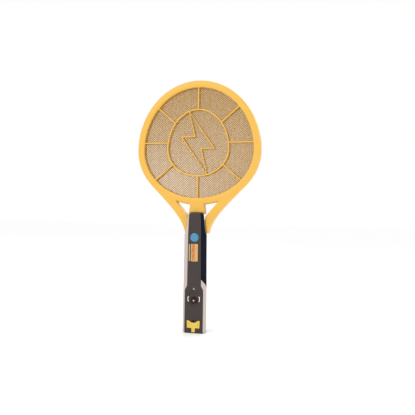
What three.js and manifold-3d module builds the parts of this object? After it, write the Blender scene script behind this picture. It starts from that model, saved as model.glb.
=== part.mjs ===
// Electric fly swatter: a round racket head of three metal meshes in a plastic frame, on a battery handle.
// Millimetres, +Z up. It stands on the flat end of its handle, its front faces -Y, and +X is the viewer's right.
import * as THREE from "three";
import { mergeVertices } from "three/addons/utils/BufferGeometryUtils.js";
import Module from "manifold-3d";

const wasm = await Module();
wasm.setup();

// ---------- driving dimensions ----------

const GAP = 0.3; // clearance between pieces that touch
const MARGIN = 10; // how far a cutting solid runs past what it cuts

// Racket head: an upright egg shape, widest below its middle, in two halves that meet at y = 0.
const HEAD_HALF_WIDTH = 110.5;
const HEAD_UP = 120.5; // from the widest level to the top
const HEAD_DOWN = 94.5; // and to the bottom
const FRAME_HALF_DEPTH = 8;
const RIM_WIDTH = 12.2; // from the outside in to the window's edge
const RIM_SEGMENTS = 60;
const LIP_WIDTH = 4.3; // the part of the rim that covers the meshes' edge
const MESH_THICKNESS = 0.5;
const MESH_SPACING = 4; // between the middle planes of two neighbouring meshes
const SPACER_WIDTH = 3.4;

// Guard: eight spokes, an egg-shaped hoop and the outline of a lightning bolt, round the guard's centre.
const RIB_DEPTH = 1.9;
const RIB_WIDTH = 2.4;
const HOOP_HALF_WIDTH = 55;
const HOOP_UP = 68;
const HOOP_DOWN = 47;
const SPOKE_ANGLE = 40; // of the slanted spokes, above and below the horizontal, in degrees
const BOLT_TIP = [-16.5, 54.5];
const BOLT_NOTCH = [-5.5, 10.6];
const BOLT_POINT = [-29.5, 9.9];

// Neck: two arms that sweep down to the handle's shoulders, and a stem between them.
const STEM_HALF_TOP = 12.2;
const STEM_HALF_FOOT = 13.8;
const TONGUE_HALF_WIDTH = 8;
const TONGUE_HALF_DEPTH = 6;
const TONGUE_LENGTH = 26;
const WIRE_CHANNEL_HALF_WIDTH = 1.4;
const WIRE_RADIUS = 0.6;

// Handle: a hollow casing whose raised front face is narrow at the grip and wide below it.
const HANDLE_TOP = 206;
const HANDLE_HALF_BASE = 21;
const HANDLE_HALF_GRIP = 20.6;
const HANDLE_HALF_TOP = 14.2;
const SHOULDER_DROP = 34; // from the handle's top to the ledge that the arms rest on
const LEDGE = 1.8; // width of that ledge
const FACE_HALF_BASE = 16.2;
const FACE_HALF_GRIP = 12.2;
const FACE_HALF_TOP = 10.4;
const STEP_Z = 74; // where the face starts to narrow
const STEP_RISE = 7;
const CORNER_RISE = 4;
const FACE_Y = -17;
const FACE_RAISE = 0.8; // the front face stands this far above the side rails
const SHOULDER_Y = -14.4; // where the rails' front turns to the flank
const BACK_Y = 18.8;
const WALL = 2.4;
const PARTING_Y = 2; // plane where the rear cover meets the rails
const PAD_THICKNESS = 1.2;

// Controls on the front face, measured down from the handle's top or up from its base.
const BUTTON_DROP = 42;
const BUTTON_RADIUS = 7.5;
const BUTTON_TRAVEL = 1.5;
const SWITCH_Z = 58.5;
const RECESS_RADIUS = 11.6;
const BEZEL_WIDTH = 1.9;
const BEZEL_HALF_ANGLE = 28; // each of the two bezel arcs spans twice this, in degrees
const KNOB_HALF_WIDTH = 6;
const KNOB_HALF_HEIGHT = 4.6;
const KNOB_TRAVEL = 5;
const TORCH_SLIDE_TOP = 21.8;
const TORCH_SLIDE_HALF_WIDTH = 11.5;
const TORCH_TRAVEL = 4;
const LAMP_Z = 76;
const LAMP_RADIUS = 1.6;
const LABEL_DROP = 68; // to the middle of the label
const LABEL_HALF_WIDTH = 6.2;
const LABEL_HALF_HEIGHT = 15;

// Inside the handle.
const BOARD_FRONT = -6.4;
const BOARD_BACK = -4.8;
const BOARD_HALF_WIDTH = 11.8;
const BOARD_Z = 13.5;
const CELL_RADIUS = 9.2;
const CELL_LENGTH = 65;
const CELL_Z = 18;
const CRADLE_WALL = 1.2;
const CRADLE_CLEARANCE = 0.5; // between the cradle and the rear wall
const LENS_RADIUS = 10;
const CAP_THICKNESS = 3;
const SOCKET_Z = 48;
const BOSS_RADIUS = 2.5;
const SCREW_RADIUS = 1.3;
const SCREW_HEAD_RADIUS = 2.5;
const SCREW_HEAD_HEIGHT = 1.8;

// ---------- places that follow from them ----------

const HEAD_Z = HANDLE_TOP + 14 + HEAD_DOWN; // the head's widest level
const GUARD_Z = HEAD_Z + (HEAD_UP - HEAD_DOWN) / 2; // the guard's centre
const HOOP_Z = GUARD_Z - (HOOP_UP - HOOP_DOWN) / 2;
const SEAT_INSET = RIM_WIDTH - LIP_WIDTH; // insets in the head are from its outside
const MESH_INSET = SEAT_INSET + GAP;
const LIP_Y = MESH_SPACING + MESH_THICKNESS / 2 + GAP; // the lip's inner face, from the middle plane
const SHOULDER_Z = HANDLE_TOP - SHOULDER_DROP;
const FACE_INNER = FACE_Y + WALL;
const BUTTON_Z = HANDLE_TOP - BUTTON_DROP;
const LABEL_Z = HANDLE_TOP - LABEL_DROP;
const BOARD_TOP = HANDLE_TOP - TONGUE_LENGTH - 5;
const CELL_TOP = CELL_Z + CELL_LENGTH;
const CELL_Y = BACK_Y - WALL - CRADLE_CLEARANCE - CRADLE_WALL - GAP - CELL_RADIUS;
const MIDDLE_BOSS_Z = CELL_TOP + 9;
const TONGUE_BOSS_X = 5.6;
const TONGUE_BOSS_Z = HANDLE_TOP - 16;
// Case screws as x, z and the y of the head's back, which follows the casing's curved back.
const CASE_SCREWS = [
  [-(HANDLE_HALF_BASE - 8), CELL_Z + 11, BACK_Y - 10.8],
  [HANDLE_HALF_BASE - 8, CELL_Z + 11, BACK_Y - 10.8],
  [0, MIDDLE_BOSS_Z, BACK_Y - 3.4],
  [-TONGUE_BOSS_X, TONGUE_BOSS_Z, BACK_Y - 6.8],
  [TONGUE_BOSS_X, TONGUE_BOSS_Z, BACK_Y - 6.8],
];
const FRAME_SCREW_ANGLES = [20, 90, 160, 205, 270, 335];

// ---------- materials ----------

function finish(color, roughness, metalness = 0) {
  return new THREE.MeshStandardMaterial({ color, roughness, metalness });
}
const yellow = finish(0xffc64a, 0.4);
const black = finish(0x37353a, 0.5);
const white = finish(0xdcd7de, 0.35);
const rubber = finish(0x15161c, 0.7);
const blue = finish(0x2fa0cf, 0.3);
const chrome = finish(0xd0d0d0, 0.15, 1);
const meshMetal = finish(0xc8ac80, 0.4, 0.9);
const steel = finish(0xb8b8b8, 0.35, 1);
const orange = finish(0xe79b4e, 0.5);
const cream = finish(0xe8dfbd, 0.5);
const sliderYellow = finish(0xf0cf4c, 0.45);
const board = finish(0x1f6b3a, 0.5);
const ferrite = finish(0x2b2b2e, 0.6);
const copper = finish(0xb5651d, 0.4, 0.6);
const film = finish(0xa33a22, 0.4);
const cellSleeve = finish(0x2d62b8, 0.4);
const redWire = finish(0xc22222, 0.5);
const blackWire = finish(0x222222, 0.5);
const clear = finish(0xeaf4ff, 0.1);

// ---------- making solids ----------

// A closed geometry as a manifold solid.
function solid(geometry) {
  const loose = geometry.index ? geometry.toNonIndexed() : geometry;
  const bare = new THREE.BufferGeometry().setAttribute("position", loose.getAttribute("position"));
  const merged = mergeVertices(bare, 1e-4);
  const vertProperties = merged.attributes.position.array;
  const triVerts = new Uint32Array(merged.index.array);
  return new wasm.Manifold(new wasm.Mesh({ numProp: 3, vertProperties, triVerts }));
}

const group = new THREE.Group();

// Adds a solid to the swatter as a named mesh.
function add(name, made, material) {
  const { vertProperties, triVerts } = made.getMesh();
  const geometry = new THREE.BufferGeometry();
  geometry.setAttribute("position", new THREE.BufferAttribute(new Float32Array(vertProperties), 3));
  geometry.setIndex(new THREE.BufferAttribute(new Uint32Array(triVerts), 1));
  const mesh = new THREE.Mesh(geometry, material);
  mesh.name = name;
  group.add(mesh);
}

function union(...parts) {
  return parts.reduce((a, b) => a.add(b));
}

function cut(body, ...tools) {
  return tools.reduce((a, b) => a.subtract(b), body);
}

function block([x0, x1], [y0, y1], [z0, z1]) {
  const box = new THREE.BoxGeometry(x1 - x0, y1 - y0, z1 - z0);
  return solid(box.translate((x0 + x1) / 2, (y0 + y1) / 2, (z0 + z1) / 2));
}

// A round bar along Y or Z.
function rodY(x, z, radius, [y0, y1], sides = 16) {
  const rod = new THREE.CylinderGeometry(radius, radius, y1 - y0, sides);
  return solid(rod.translate(x, (y0 + y1) / 2, z));
}

function rodZ(x, y, radius, [z0, z1], sides = 24) {
  const rod = new THREE.CylinderGeometry(radius, radius, z1 - z0, sides);
  return solid(rod.rotateX(Math.PI / 2).translate(x, y, (z0 + z1) / 2));
}

// A profile of [radius, height] points turned about the Y axis, then moved to x, z.
function turnedY(x, z, profile, sides = 24) {
  const points = profile.map(([radius, y]) => new THREE.Vector2(radius, y));
  return solid(new THREE.LatheGeometry(points, sides).translate(x, 0, z));
}

function turnedZ(x, y, profile, sides = 24) {
  const points = profile.map(([radius, z]) => new THREE.Vector2(radius, z));
  return solid(new THREE.LatheGeometry(points, sides).rotateX(Math.PI / 2).translate(x, y, 0));
}

// A shape drawn in the front view (x, z), as a plate from y0 to y1.
function plate(shape, [y0, y1], curveSegments = 12) {
  const options = { depth: y1 - y0, bevelEnabled: false, curveSegments };
  return solid(new THREE.ExtrudeGeometry(shape, options).rotateX(Math.PI / 2).translate(0, y1, 0));
}

function polygon(points) {
  return new THREE.Shape(points.map(([x, z]) => new THREE.Vector2(x, z)));
}

// A round wire along a smooth curve through points.
function wire(points, radius, steps, sides = 8) {
  const section = new THREE.Shape();
  for (let i = 0; i < sides; i += 1) {
    const a = (2 * Math.PI * i) / sides;
    const to = i ? "lineTo" : "moveTo";
    section[to](radius * Math.cos(a), radius * Math.sin(a));
  }
  const extrudePath = new THREE.CatmullRomCurve3(points.map((p) => new THREE.Vector3(...p)));
  return solid(new THREE.ExtrudeGeometry(section, { steps, extrudePath }));
}

// Joins equal rings of points into one skin. It is closed by end caps, or into a loop.
function skin(rings, loop) {
  const count = rings[0].length;
  const positions = rings.flat(2);
  const index = [];
  const spans = loop ? rings.length : rings.length - 1;
  for (let i = 0; i < spans; i += 1) {
    for (let k = 0; k < count; k += 1) {
      const a = i * count + k;
      const b = i * count + ((k + 1) % count);
      const c = ((i + 1) % rings.length) * count + k;
      const d = ((i + 1) % rings.length) * count + ((k + 1) % count);
      index.push(a, b, d, a, d, c);
    }
  }
  if (!loop) {
    const ends = [0, rings.length - 1];
    for (const end of ends) {
      const centre = positions.length / 3;
      positions.push(0, 0, rings[end][0][2]);
      for (let k = 0; k < count; k += 1) {
        const a = end * count + k;
        const b = end * count + ((k + 1) % count);
        index.push(centre, ...(end ? [a, b] : [b, a]));
      }
    }
  }
  const geometry = new THREE.BufferGeometry();
  geometry.setAttribute("position", new THREE.Float32BufferAttribute(positions, 3));
  geometry.setIndex(index);
  return solid(geometry);
}

// ---------- racket head ----------

// A point of an egg: two half ellipses that share their width at the egg's widest level.
function eggPoint(halfWidth, up, down, z, degrees) {
  const a = THREE.MathUtils.degToRad(degrees);
  return [halfWidth * Math.cos(a), z + (Math.sin(a) > 0 ? up : down) * Math.sin(a)];
}

function eggDisc(halfWidth, up, down, z, yRange, segments) {
  const corners = [];
  for (let i = 0; i < segments; i += 1) {
    corners.push(eggPoint(halfWidth, up, down, z, (360 * i) / segments));
  }
  return plate(polygon(corners), yRange);
}

// A point of the head this far in from its outside.
function headPoint(inset, degrees) {
  return eggPoint(HEAD_HALF_WIDTH - inset, HEAD_UP - inset, HEAD_DOWN - inset, HEAD_Z, degrees);
}

function headDisc(inset, yRange) {
  const sizes = [HEAD_HALF_WIDTH, HEAD_UP, HEAD_DOWN].map((size) => size - inset);
  return eggDisc(...sizes, HEAD_Z, yRange, RIM_SEGMENTS);
}

// A ring of the head: profile points are [inset, y].
function headRing(profile) {
  const rings = [];
  for (let i = 0; i < RIM_SEGMENTS; i += 1) {
    rings.push(
      profile.map(([inset, y]) => {
        const [x, z] = headPoint(inset, (360 * i) / RIM_SEGMENTS);
        return [x, y, z];
      }),
    );
  }
  return skin(rings, true);
}

// A straight rib between two points of the front view.
function rib([x0, z0], [x1, z1], yRange, width = RIB_WIDTH) {
  const length = Math.hypot(x1 - x0, z1 - z0);
  const side = [((z0 - z1) / length) * (width / 2), ((x1 - x0) / length) * (width / 2)];
  const corners = [
    [x0 - side[0], z0 - side[1]],
    [x1 - side[0], z1 - side[1]],
    [x1 + side[0], z1 + side[1]],
    [x0 + side[0], z0 + side[1]],
  ];
  return plate(polygon(corners), yRange);
}

function hoopDisc(grow, yRange) {
  const sizes = [HOOP_HALF_WIDTH, HOOP_UP, HOOP_DOWN].map((size) => size + grow);
  return eggDisc(...sizes, HOOP_Z, yRange, 40);
}

function guard([y0, y1]) {
  const through = [y0 - 1, y1 + 1];
  const reach = HEAD_HALF_WIDTH + HEAD_UP;
  const spokes = [0, SPOKE_ANGLE, 90, 180 - SPOKE_ANGLE].map((angle) => {
    const a = THREE.MathUtils.degToRad(angle);
    const [dx, dz] = [reach * Math.cos(a), reach * Math.sin(a)];
    return rib([-dx, GUARD_Z - dz], [dx, GUARD_Z + dz], [y0, y1]);
  });
  const hoopInside = hoopDisc(-RIB_WIDTH / 2, through);
  const hoop = cut(hoopDisc(RIB_WIDTH / 2, [y0, y1]), hoopInside);
  // The bolt is the same turned half round, so three of its corners give the other three.
  const half = [BOLT_TIP, BOLT_NOTCH, BOLT_POINT];
  const corners = [...half, ...half.map(([x, z]) => [-x, -z])].map(([x, z]) => [x, GUARD_Z + z]);
  const bolt = corners.map((corner, i) => {
    return rib(corner, corners[(i + 1) % corners.length], [y0, y1], RIB_WIDTH - 0.4);
  });
  return union(cut(union(...spokes), hoopInside), hoop, ...bolt).intersect(headDisc(RIM_WIDTH - 1, through));
}

// Outline of the neck in the front view: both arms and the stem, down to the handle's ledge.
function neckShape() {
  const [startX, startZ] = headPoint(0, -41);
  const [foot, footZ] = [HANDLE_HALF_GRIP + 0.4, SHOULDER_Z - 1];
  const outline = new THREE.Shape();
  outline.moveTo(-foot, footZ);
  outline.bezierCurveTo(-foot - 3.5, footZ + 24, -startX * 0.6, startZ - 33, -startX, startZ);
  outline.lineTo(startX, startZ);
  outline.bezierCurveTo(startX * 0.6, startZ - 33, foot + 3.5, footZ + 24, foot, footZ);
  return outline;
}

// The gap between the stem and an arm on one side. The head's rim closes its top.
function neckGapShape(side) {
  const [outerX, outerZ] = headPoint(-2, -71.5);
  const corners = [
    [side * STEM_HALF_TOP, HEAD_Z - HEAD_DOWN - 1],
    [side * STEM_HALF_FOOT, HANDLE_TOP + 0.5],
    [side * (STEM_HALF_FOOT + 2.8), HANDLE_TOP - 5],
    [side * outerX, outerZ],
  ];
  return polygon(side > 0 ? corners : corners.reverse());
}

// A frame half on the side of y that side names: -1 is the front, +1 the rear.
function frameHalf(side) {
  const outer = side * FRAME_HALF_DEPTH;
  const seam = (side * GAP) / 2;
  const range = side < 0 ? [outer, seam] : [seam, outer];
  const profile = [
    [0, seam],
    [0, outer * 0.5],
    [2.4, outer * 0.9],
    [5.8, outer],
    [RIM_WIDTH - 2.6, outer * 0.93],
    [RIM_WIDTH, outer * 0.74],
    [RIM_WIDTH, side * LIP_Y],
    [SEAT_INSET, side * LIP_Y],
    [SEAT_INSET, seam],
  ];
  const ring = headRing(side < 0 ? profile.reverse() : profile);
  const gaps = [-1, 1].map((s) => plate(neckGapShape(s), [-MARGIN, MARGIN]));
  const inside = headDisc(SEAT_INSET - 1, [-FRAME_HALF_DEPTH - 1, FRAME_HALF_DEPTH + 1]);
  const neck = cut(plate(neckShape(), range, 10), ...gaps, inside, handleBody(GAP, [0, HANDLE_TOP + GAP]));
  const tongueDepth = side < 0 ? [-TONGUE_HALF_DEPTH, seam] : [seam, TONGUE_HALF_DEPTH];
  const tongue = block(
    [-TONGUE_HALF_WIDTH, TONGUE_HALF_WIDTH],
    tongueDepth,
    [HANDLE_TOP - TONGUE_LENGTH, HANDLE_TOP + 3],
  );
  const ribRange = side < 0 ? [-LIP_Y - RIB_DEPTH, -LIP_Y] : [LIP_Y, LIP_Y + RIB_DEPTH];
  const body = union(ring, neck, tongue, guard(ribRange));
  const channel = block(
    [-WIRE_CHANNEL_HALF_WIDTH, WIRE_CHANNEL_HALF_WIDTH],
    [-MESH_SPACING - 1, MESH_SPACING + 1],
    [HANDLE_TOP - TONGUE_LENGTH - 1, headPoint(SEAT_INSET + 0.5, 270)[1]],
  );
  const bossHoles = [-1, 1].map((s) =>
    rodY(s * TONGUE_BOSS_X, TONGUE_BOSS_Z, BOSS_RADIUS + GAP, [-MARGIN, MARGIN], 12),
  );
  return cut(body, channel, ...bossHoles, ...frameScrewHoles());
}

// ---------- screws ----------

// A pan-head screw along Y, from its tip to the back of its head.
function screw(x, z, tip, headBack) {
  const headFront = headBack - SCREW_HEAD_HEIGHT;
  const profile = [
    [0, tip],
    [SCREW_RADIUS, tip],
    [SCREW_RADIUS, headFront],
    [SCREW_HEAD_RADIUS, headFront],
    [SCREW_HEAD_RADIUS, headBack - 0.5],
    [SCREW_HEAD_RADIUS - 0.6, headBack],
    [0, headBack],
  ];
  return turnedY(x, z, profile, 10);
}

// Its hole: a clear shaft and a counterbore for the head, open at the back.
function screwHole(x, z, tip, headBack) {
  const headFront = headBack - SCREW_HEAD_HEIGHT;
  const shaft = rodY(x, z, SCREW_RADIUS + GAP, [tip - GAP, headFront], 10);
  return union(shaft, rodY(x, z, SCREW_HEAD_RADIUS + GAP, [headFront - GAP, headBack + MARGIN + 2], 10));
}

const FRAME_SCREW_TIP = -3.8;
const FRAME_SCREW_BACK = FRAME_HALF_DEPTH - 1;
const CASE_SCREW_TIP = -6.4;

function frameScrewPlaces() {
  return FRAME_SCREW_ANGLES.map((angle) => {
    // The bottom screw sits in the stem beside the wire channel.
    if (angle === 270) return [STEM_HALF_TOP / 2 + 1.2, HEAD_Z - HEAD_DOWN + 2];
    return headPoint(SEAT_INSET / 2, angle);
  });
}

function frameScrewHoles() {
  return frameScrewPlaces().map(([x, z]) => screwHole(x, z, FRAME_SCREW_TIP, FRAME_SCREW_BACK));
}

function caseScrewHoles() {
  return CASE_SCREWS.map(([x, z, back]) => screwHole(x, z, CASE_SCREW_TIP, back));
}

// ---------- handle casing ----------

// Widths up the handle as [z, half width] and [z, half width of the raised face].
const HALF_WIDTHS = [
  [0, HANDLE_HALF_BASE],
  [STEP_Z, HANDLE_HALF_GRIP],
  [SHOULDER_Z - 2, HANDLE_HALF_GRIP - 1.1],
  [SHOULDER_Z, HANDLE_HALF_GRIP - 1.1 - LEDGE],
  [SHOULDER_Z + SHOULDER_DROP * 0.4, (HANDLE_HALF_GRIP + HANDLE_HALF_TOP) / 2 - 1.8],
  [HANDLE_TOP - CORNER_RISE, HANDLE_HALF_TOP],
  [HANDLE_TOP, HANDLE_HALF_TOP - 1.2],
];
const FACE_HALF_WIDTHS = [
  [0, FACE_HALF_BASE],
  [STEP_Z, FACE_HALF_BASE],
  [STEP_Z + STEP_RISE, FACE_HALF_GRIP],
  [SHOULDER_Z, FACE_HALF_GRIP - 0.8],
  [HANDLE_TOP - CORNER_RISE, FACE_HALF_TOP],
  [HANDLE_TOP - 1, FACE_HALF_TOP - 1.6],
  [HANDLE_TOP, FACE_HALF_TOP - 3.5],
];

// The value of a [z, value] table at z, in straight lines between its rows.
function at(table, z) {
  const next = table.findIndex(([level]) => level >= z);
  if (next < 0) return table[table.length - 1][1];
  if (next === 0) return table[0][1];
  const [[z0, v0], [z1, v1]] = [table[next - 1], table[next]];
  return v0 + ((v1 - v0) * (z - z0)) / (z1 - z0);
}

// The handle's outline at height z, grown by an offset, anticlockwise from above.
function handleSection(z, grow) {
  const half = at(HALF_WIDTHS, z);
  const face = at(FACE_HALF_WIDTHS, z);
  const right = [
    [face, FACE_Y],
    [face, FACE_Y + FACE_RAISE],
    [half - 1.2, SHOULDER_Y],
    [half, -12.4],
    [half, -9],
    [half - 2.8, 0],
    [half - 4.4, 6],
    [half - 6.6, 12],
    [half - 9.4, 16.4],
    [half - 13, BACK_Y],
  ];
  const left = right.map(([x, y]) => [-x, y]).reverse();
  const wider = (half + grow) / half;
  return [...right, ...left].map(([x, y]) => {
    const end = y < 0 ? -FACE_Y : BACK_Y;
    return [x * wider, (y * (end + grow)) / end, z];
  });
}

// The handle's solid from one height to another, grown by an offset.
function handleBody(grow, [low, high]) {
  const levels = [...HALF_WIDTHS, ...FACE_HALF_WIDTHS].map(([z]) => z);
  const inside = [...new Set(levels)].filter((z) => z > low + 0.01 && z < high - 0.01);
  const heights = [low, ...inside, high].sort((a, b) => a - b);
  return skin(
    heights.map((z) => handleSection(z, grow)),
    false,
  );
}

// What the front cover takes of the casing: the wall within the raised face's outline, and the top wall.
function faceRegion(grow) {
  const right = FACE_HALF_WIDTHS.map(([z, half]) => [half + grow, z]);
  right[0][1] -= MARGIN;
  right[right.length - 1][1] += MARGIN;
  const left = right.map(([x, z]) => [-x, z]).reverse();
  const face = plate(polygon([...right, ...left]), [FACE_Y - MARGIN, FACE_INNER + 1 + grow]);
  const top = block(
    around(0, FACE_HALF_TOP - 3.5 + grow),
    [FACE_INNER, PARTING_Y],
    [HANDLE_TOP - WALL - 0.5 - grow, HANDLE_TOP + MARGIN],
  );
  return union(face, top);
}

function around(centre, half) {
  return [centre - half, centre + half];
}

function besideX(side, [y0, y1]) {
  const range = side < 0 ? [-HANDLE_HALF_BASE - MARGIN, 0] : [0, HANDLE_HALF_BASE + MARGIN];
  return block(range, [y0, y1], [-MARGIN, HANDLE_TOP + MARGIN]);
}

const cavity = handleBody(-WALL, [-1, HANDLE_TOP - WALL]);
const tongueSlot = block(
  [-TONGUE_HALF_WIDTH - GAP, TONGUE_HALF_WIDTH + GAP],
  [-TONGUE_HALF_DEPTH - GAP, TONGUE_HALF_DEPTH + GAP],
  [HANDLE_TOP - WALL - 1, HANDLE_TOP + 1],
);
const casing = cut(handleBody(0, [0, HANDLE_TOP]), cavity, tongueSlot);

// ---------- handle: front cover and what shows on it ----------

const RECESS_FLOOR = FACE_Y + 1.1;
const KNOB_REST_Z = SWITCH_Z - KNOB_TRAVEL / 2;
const STALK_HALF = 1.3;
const TORCH_STALK_Z = TORCH_SLIDE_TOP - 5;
const LABEL_SINK = 0.4;
const STRIP_X = -LABEL_HALF_WIDTH - 2.6;

// A slot through the front wall for a stalk that slides up by its travel.
function stalkSlot(z, travel) {
  const edge = STALK_HALF + GAP;
  return block([-edge, edge], [FACE_Y - 1, FACE_INNER + 1], [z - edge, z + edge + travel]);
}

function bossFront(x, z) {
  return rodY(x, z, BOSS_RADIUS, [FACE_INNER - 0.2, 0], 12);
}

function frontCover() {
  const room = union(handleBody(-WALL - GAP, [0, HANDLE_TOP - WALL]), faceRegion(0));
  const bosses = union(...CASE_SCREWS.map(([x, z]) => bossFront(x, z))).intersect(room);
  const plain = union(casing.intersect(faceRegion(0)), bosses);
  return cut(
    plain,
    ...caseScrewHoles(),
    rodY(0, BUTTON_Z, BUTTON_RADIUS + GAP, [FACE_Y - 1, FACE_INNER + 1], 28),
    rodY(0, SWITCH_Z, RECESS_RADIUS, [FACE_Y - 1, RECESS_FLOOR], 28),
    stalkSlot(KNOB_REST_Z, KNOB_TRAVEL),
    stalkSlot(TORCH_STALK_Z, TORCH_TRAVEL),
    rodY(0, LAMP_Z, LAMP_RADIUS + GAP, [FACE_Y - 1, FACE_INNER + 1], 12),
    block(
      around(0, LABEL_HALF_WIDTH + GAP),
      [FACE_Y - 1, FACE_Y + LABEL_SINK + GAP],
      around(LABEL_Z, LABEL_HALF_HEIGHT + GAP),
    ),
  );
}

add("front_cover", frontCover(), black);
add(
  "label_plate",
  block(
    around(0, LABEL_HALF_WIDTH),
    [FACE_Y - 0.2, FACE_Y + LABEL_SINK],
    around(LABEL_Z, LABEL_HALF_HEIGHT),
  ),
  orange,
);
add(
  "label_strip",
  block(around(STRIP_X, 0.8), [FACE_Y - GAP - 0.4, FACE_Y - GAP], around(LABEL_Z, LABEL_HALF_HEIGHT - 0.6)),
  cream,
);

// The push button: a low dome on a flange that the cover holds in, with a plunger behind it.
const FLANGE_FRONT = FACE_INNER + GAP;
const FLANGE_BACK = FLANGE_FRONT + 1.1;
const FLANGE_RADIUS = BUTTON_RADIUS + 1.4;
const ZAP_SWITCH_FRONT = BOARD_FRONT - GAP - 2.4;
const PLUNGER_END = ZAP_SWITCH_FRONT - GAP - BUTTON_TRAVEL;
add(
  "zap_button",
  turnedY(
    0,
    BUTTON_Z,
    [
      [0, PLUNGER_END],
      [1.8, PLUNGER_END],
      [1.8, FLANGE_BACK],
      [FLANGE_RADIUS, FLANGE_BACK],
      [FLANGE_RADIUS, FLANGE_FRONT],
      [BUTTON_RADIUS, FLANGE_FRONT],
      [BUTTON_RADIUS, FACE_Y - 0.4],
      [BUTTON_RADIUS * 0.87, FACE_Y - 1.1],
      [BUTTON_RADIUS * 0.5, FACE_Y - 1.6],
      [0, FACE_Y - 1.8],
    ].reverse(),
    28,
  ),
  blue,
);
add(
  "zap_switch",
  block(around(0, 3), [ZAP_SWITCH_FRONT, BOARD_FRONT - GAP], around(BUTTON_Z, 3)),
  ferrite,
);

// A compression spring round the plunger, between the board and the flange.
class Coil extends THREE.Curve {
  constructor(radius, from, to, turns) {
    super();
    Object.assign(this, { radius, from, to, turns });
  }
  getPoint(t, target = new THREE.Vector3()) {
    const a = 2 * Math.PI * this.turns * t;
    const y = this.from + (this.to - this.from) * t;
    return target.set(this.radius * Math.cos(a), y, BUTTON_Z + this.radius * Math.sin(a));
  }
}
const SPRING_WIRE = 0.35;
const SPRING_TURNS = 4;

function zapSpring() {
  const section = polygon(
    [0, 1, 2, 3, 4, 5].map((i) => [
      SPRING_WIRE * Math.cos((i * Math.PI) / 3),
      SPRING_WIRE * Math.sin((i * Math.PI) / 3),
    ]),
  );
  const ends = [BOARD_FRONT - GAP - SPRING_WIRE, FLANGE_BACK + GAP + SPRING_WIRE];
  const extrudePath = new Coil(BUTTON_RADIUS - 2.2, ...ends, SPRING_TURNS);
  return solid(new THREE.ExtrudeGeometry(section, { steps: 12 * SPRING_TURNS, extrudePath }));
}

add("zap_spring", zapSpring(), steel);

// A thumb slide: a cap on the face, its stalk through the cover, and the switch that it works.
const SWITCH_BODY_FRONT = BOARD_FRONT - GAP - 3;

function stalk(z, front) {
  return block(around(0, STALK_HALF), [front, SWITCH_BODY_FRONT - GAP], around(z, STALK_HALF));
}

function slideSwitch(z, travel) {
  const middle = z + travel / 2;
  return block(around(0, 3.6), [SWITCH_BODY_FRONT, BOARD_FRONT - GAP], around(middle, travel / 2 + 3.4));
}

function knob() {
  const low = [FACE_Y - 0.6, RECESS_FLOOR - GAP];
  const grip = [FACE_Y - 1.5, FACE_Y];
  return union(
    block(around(0, KNOB_HALF_WIDTH), low, around(KNOB_REST_Z, KNOB_HALF_HEIGHT)),
    rodY(0, KNOB_REST_Z, 1.7, grip, 12),
    stalk(KNOB_REST_Z, RECESS_FLOOR - GAP - 0.1),
  );
}

add("power_slider", knob(), rubber);
add("power_switch", slideSwitch(KNOB_REST_Z, KNOB_TRAVEL), ferrite);

// A bright arc on each side of the recess.
function bezelArc(middle) {
  const [from, to] = [middle - BEZEL_HALF_ANGLE, middle + BEZEL_HALF_ANGLE].map(THREE.MathUtils.degToRad);
  const outer = RECESS_RADIUS - GAP;
  const arc = new THREE.Shape();
  arc.absarc(0, SWITCH_Z, outer, from, to, false);
  arc.absarc(0, SWITCH_Z, outer - BEZEL_WIDTH, to, from, true);
  return plate(arc, [FACE_Y - 0.5, RECESS_FLOOR - GAP], 10);
}

add("bezel_arc_left", bezelArc(180), chrome);
add("bezel_arc_right", bezelArc(0), chrome);

// The torch slide's cap is a bow tie with a tail that points down.
function torchSlide() {
  const half = TORCH_SLIDE_HALF_WIDTH;
  const top = TORCH_SLIDE_TOP;
  const right = [
    [3.1, 1.9],
    [3.1, top - 12.8],
    [half - 0.4, top - 12.8],
    [half, top],
    [half - 3.2, top],
    [3, top - 3.6],
  ];
  const left = right.map(([x, z]) => [-x, z]).reverse();
  const cap = plate(polygon([...right, ...left]), [FACE_Y - GAP - 1.3, FACE_Y - GAP]);
  return union(cap, stalk(TORCH_STALK_Z, FACE_Y - GAP - 0.1));
}

add("torch_slider", torchSlide(), sliderYellow);
add("torch_switch", slideSwitch(TORCH_STALK_Z, TORCH_TRAVEL), ferrite);
add(
  "indicator_lens",
  turnedY(
    0,
    LAMP_Z,
    [
      [0, FACE_INNER + 1.6],
      [LAMP_RADIUS, FACE_INNER + 1.6],
      [LAMP_RADIUS, FACE_Y],
      [LAMP_RADIUS * 0.6, FACE_Y - 0.4],
      [0, FACE_Y - 0.5],
    ].reverse(),
    12,
  ),
  clear,
);
add("indicator_led", block(around(0, 1.2), [BOARD_FRONT - GAP - 1.4, BOARD_FRONT - GAP], around(LAMP_Z, 1.6)), clear);

// ---------- handle: rear cover, rails, grip pads and end cap ----------

function rearCover() {
  const behind = block(
    [-HANDLE_HALF_BASE - MARGIN, HANDLE_HALF_BASE + MARGIN],
    [PARTING_Y + GAP, BACK_Y + MARGIN],
    [-MARGIN, HANDLE_TOP + MARGIN],
  );
  const solidHandle = handleBody(0, [0, HANDLE_TOP]);
  const bosses = CASE_SCREWS.map(([x, z]) => rodY(x, z, BOSS_RADIUS + 0.6, [GAP, BACK_Y], 12));
  const trimmed = union(...bosses).intersect(solidHandle).intersect(behind);
  const plain = union(casing.intersect(behind), trimmed);
  const tonguePocket = block(
    [-TONGUE_HALF_WIDTH - GAP, TONGUE_HALF_WIDTH + GAP],
    [-TONGUE_HALF_DEPTH - GAP, TONGUE_HALF_DEPTH + GAP],
    [HANDLE_TOP - TONGUE_LENGTH - GAP, HANDLE_TOP + 1],
  );
  return cut(plain, tonguePocket, ...caseScrewHoles());
}

add("rear_cover", rearCover(), black);

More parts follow.
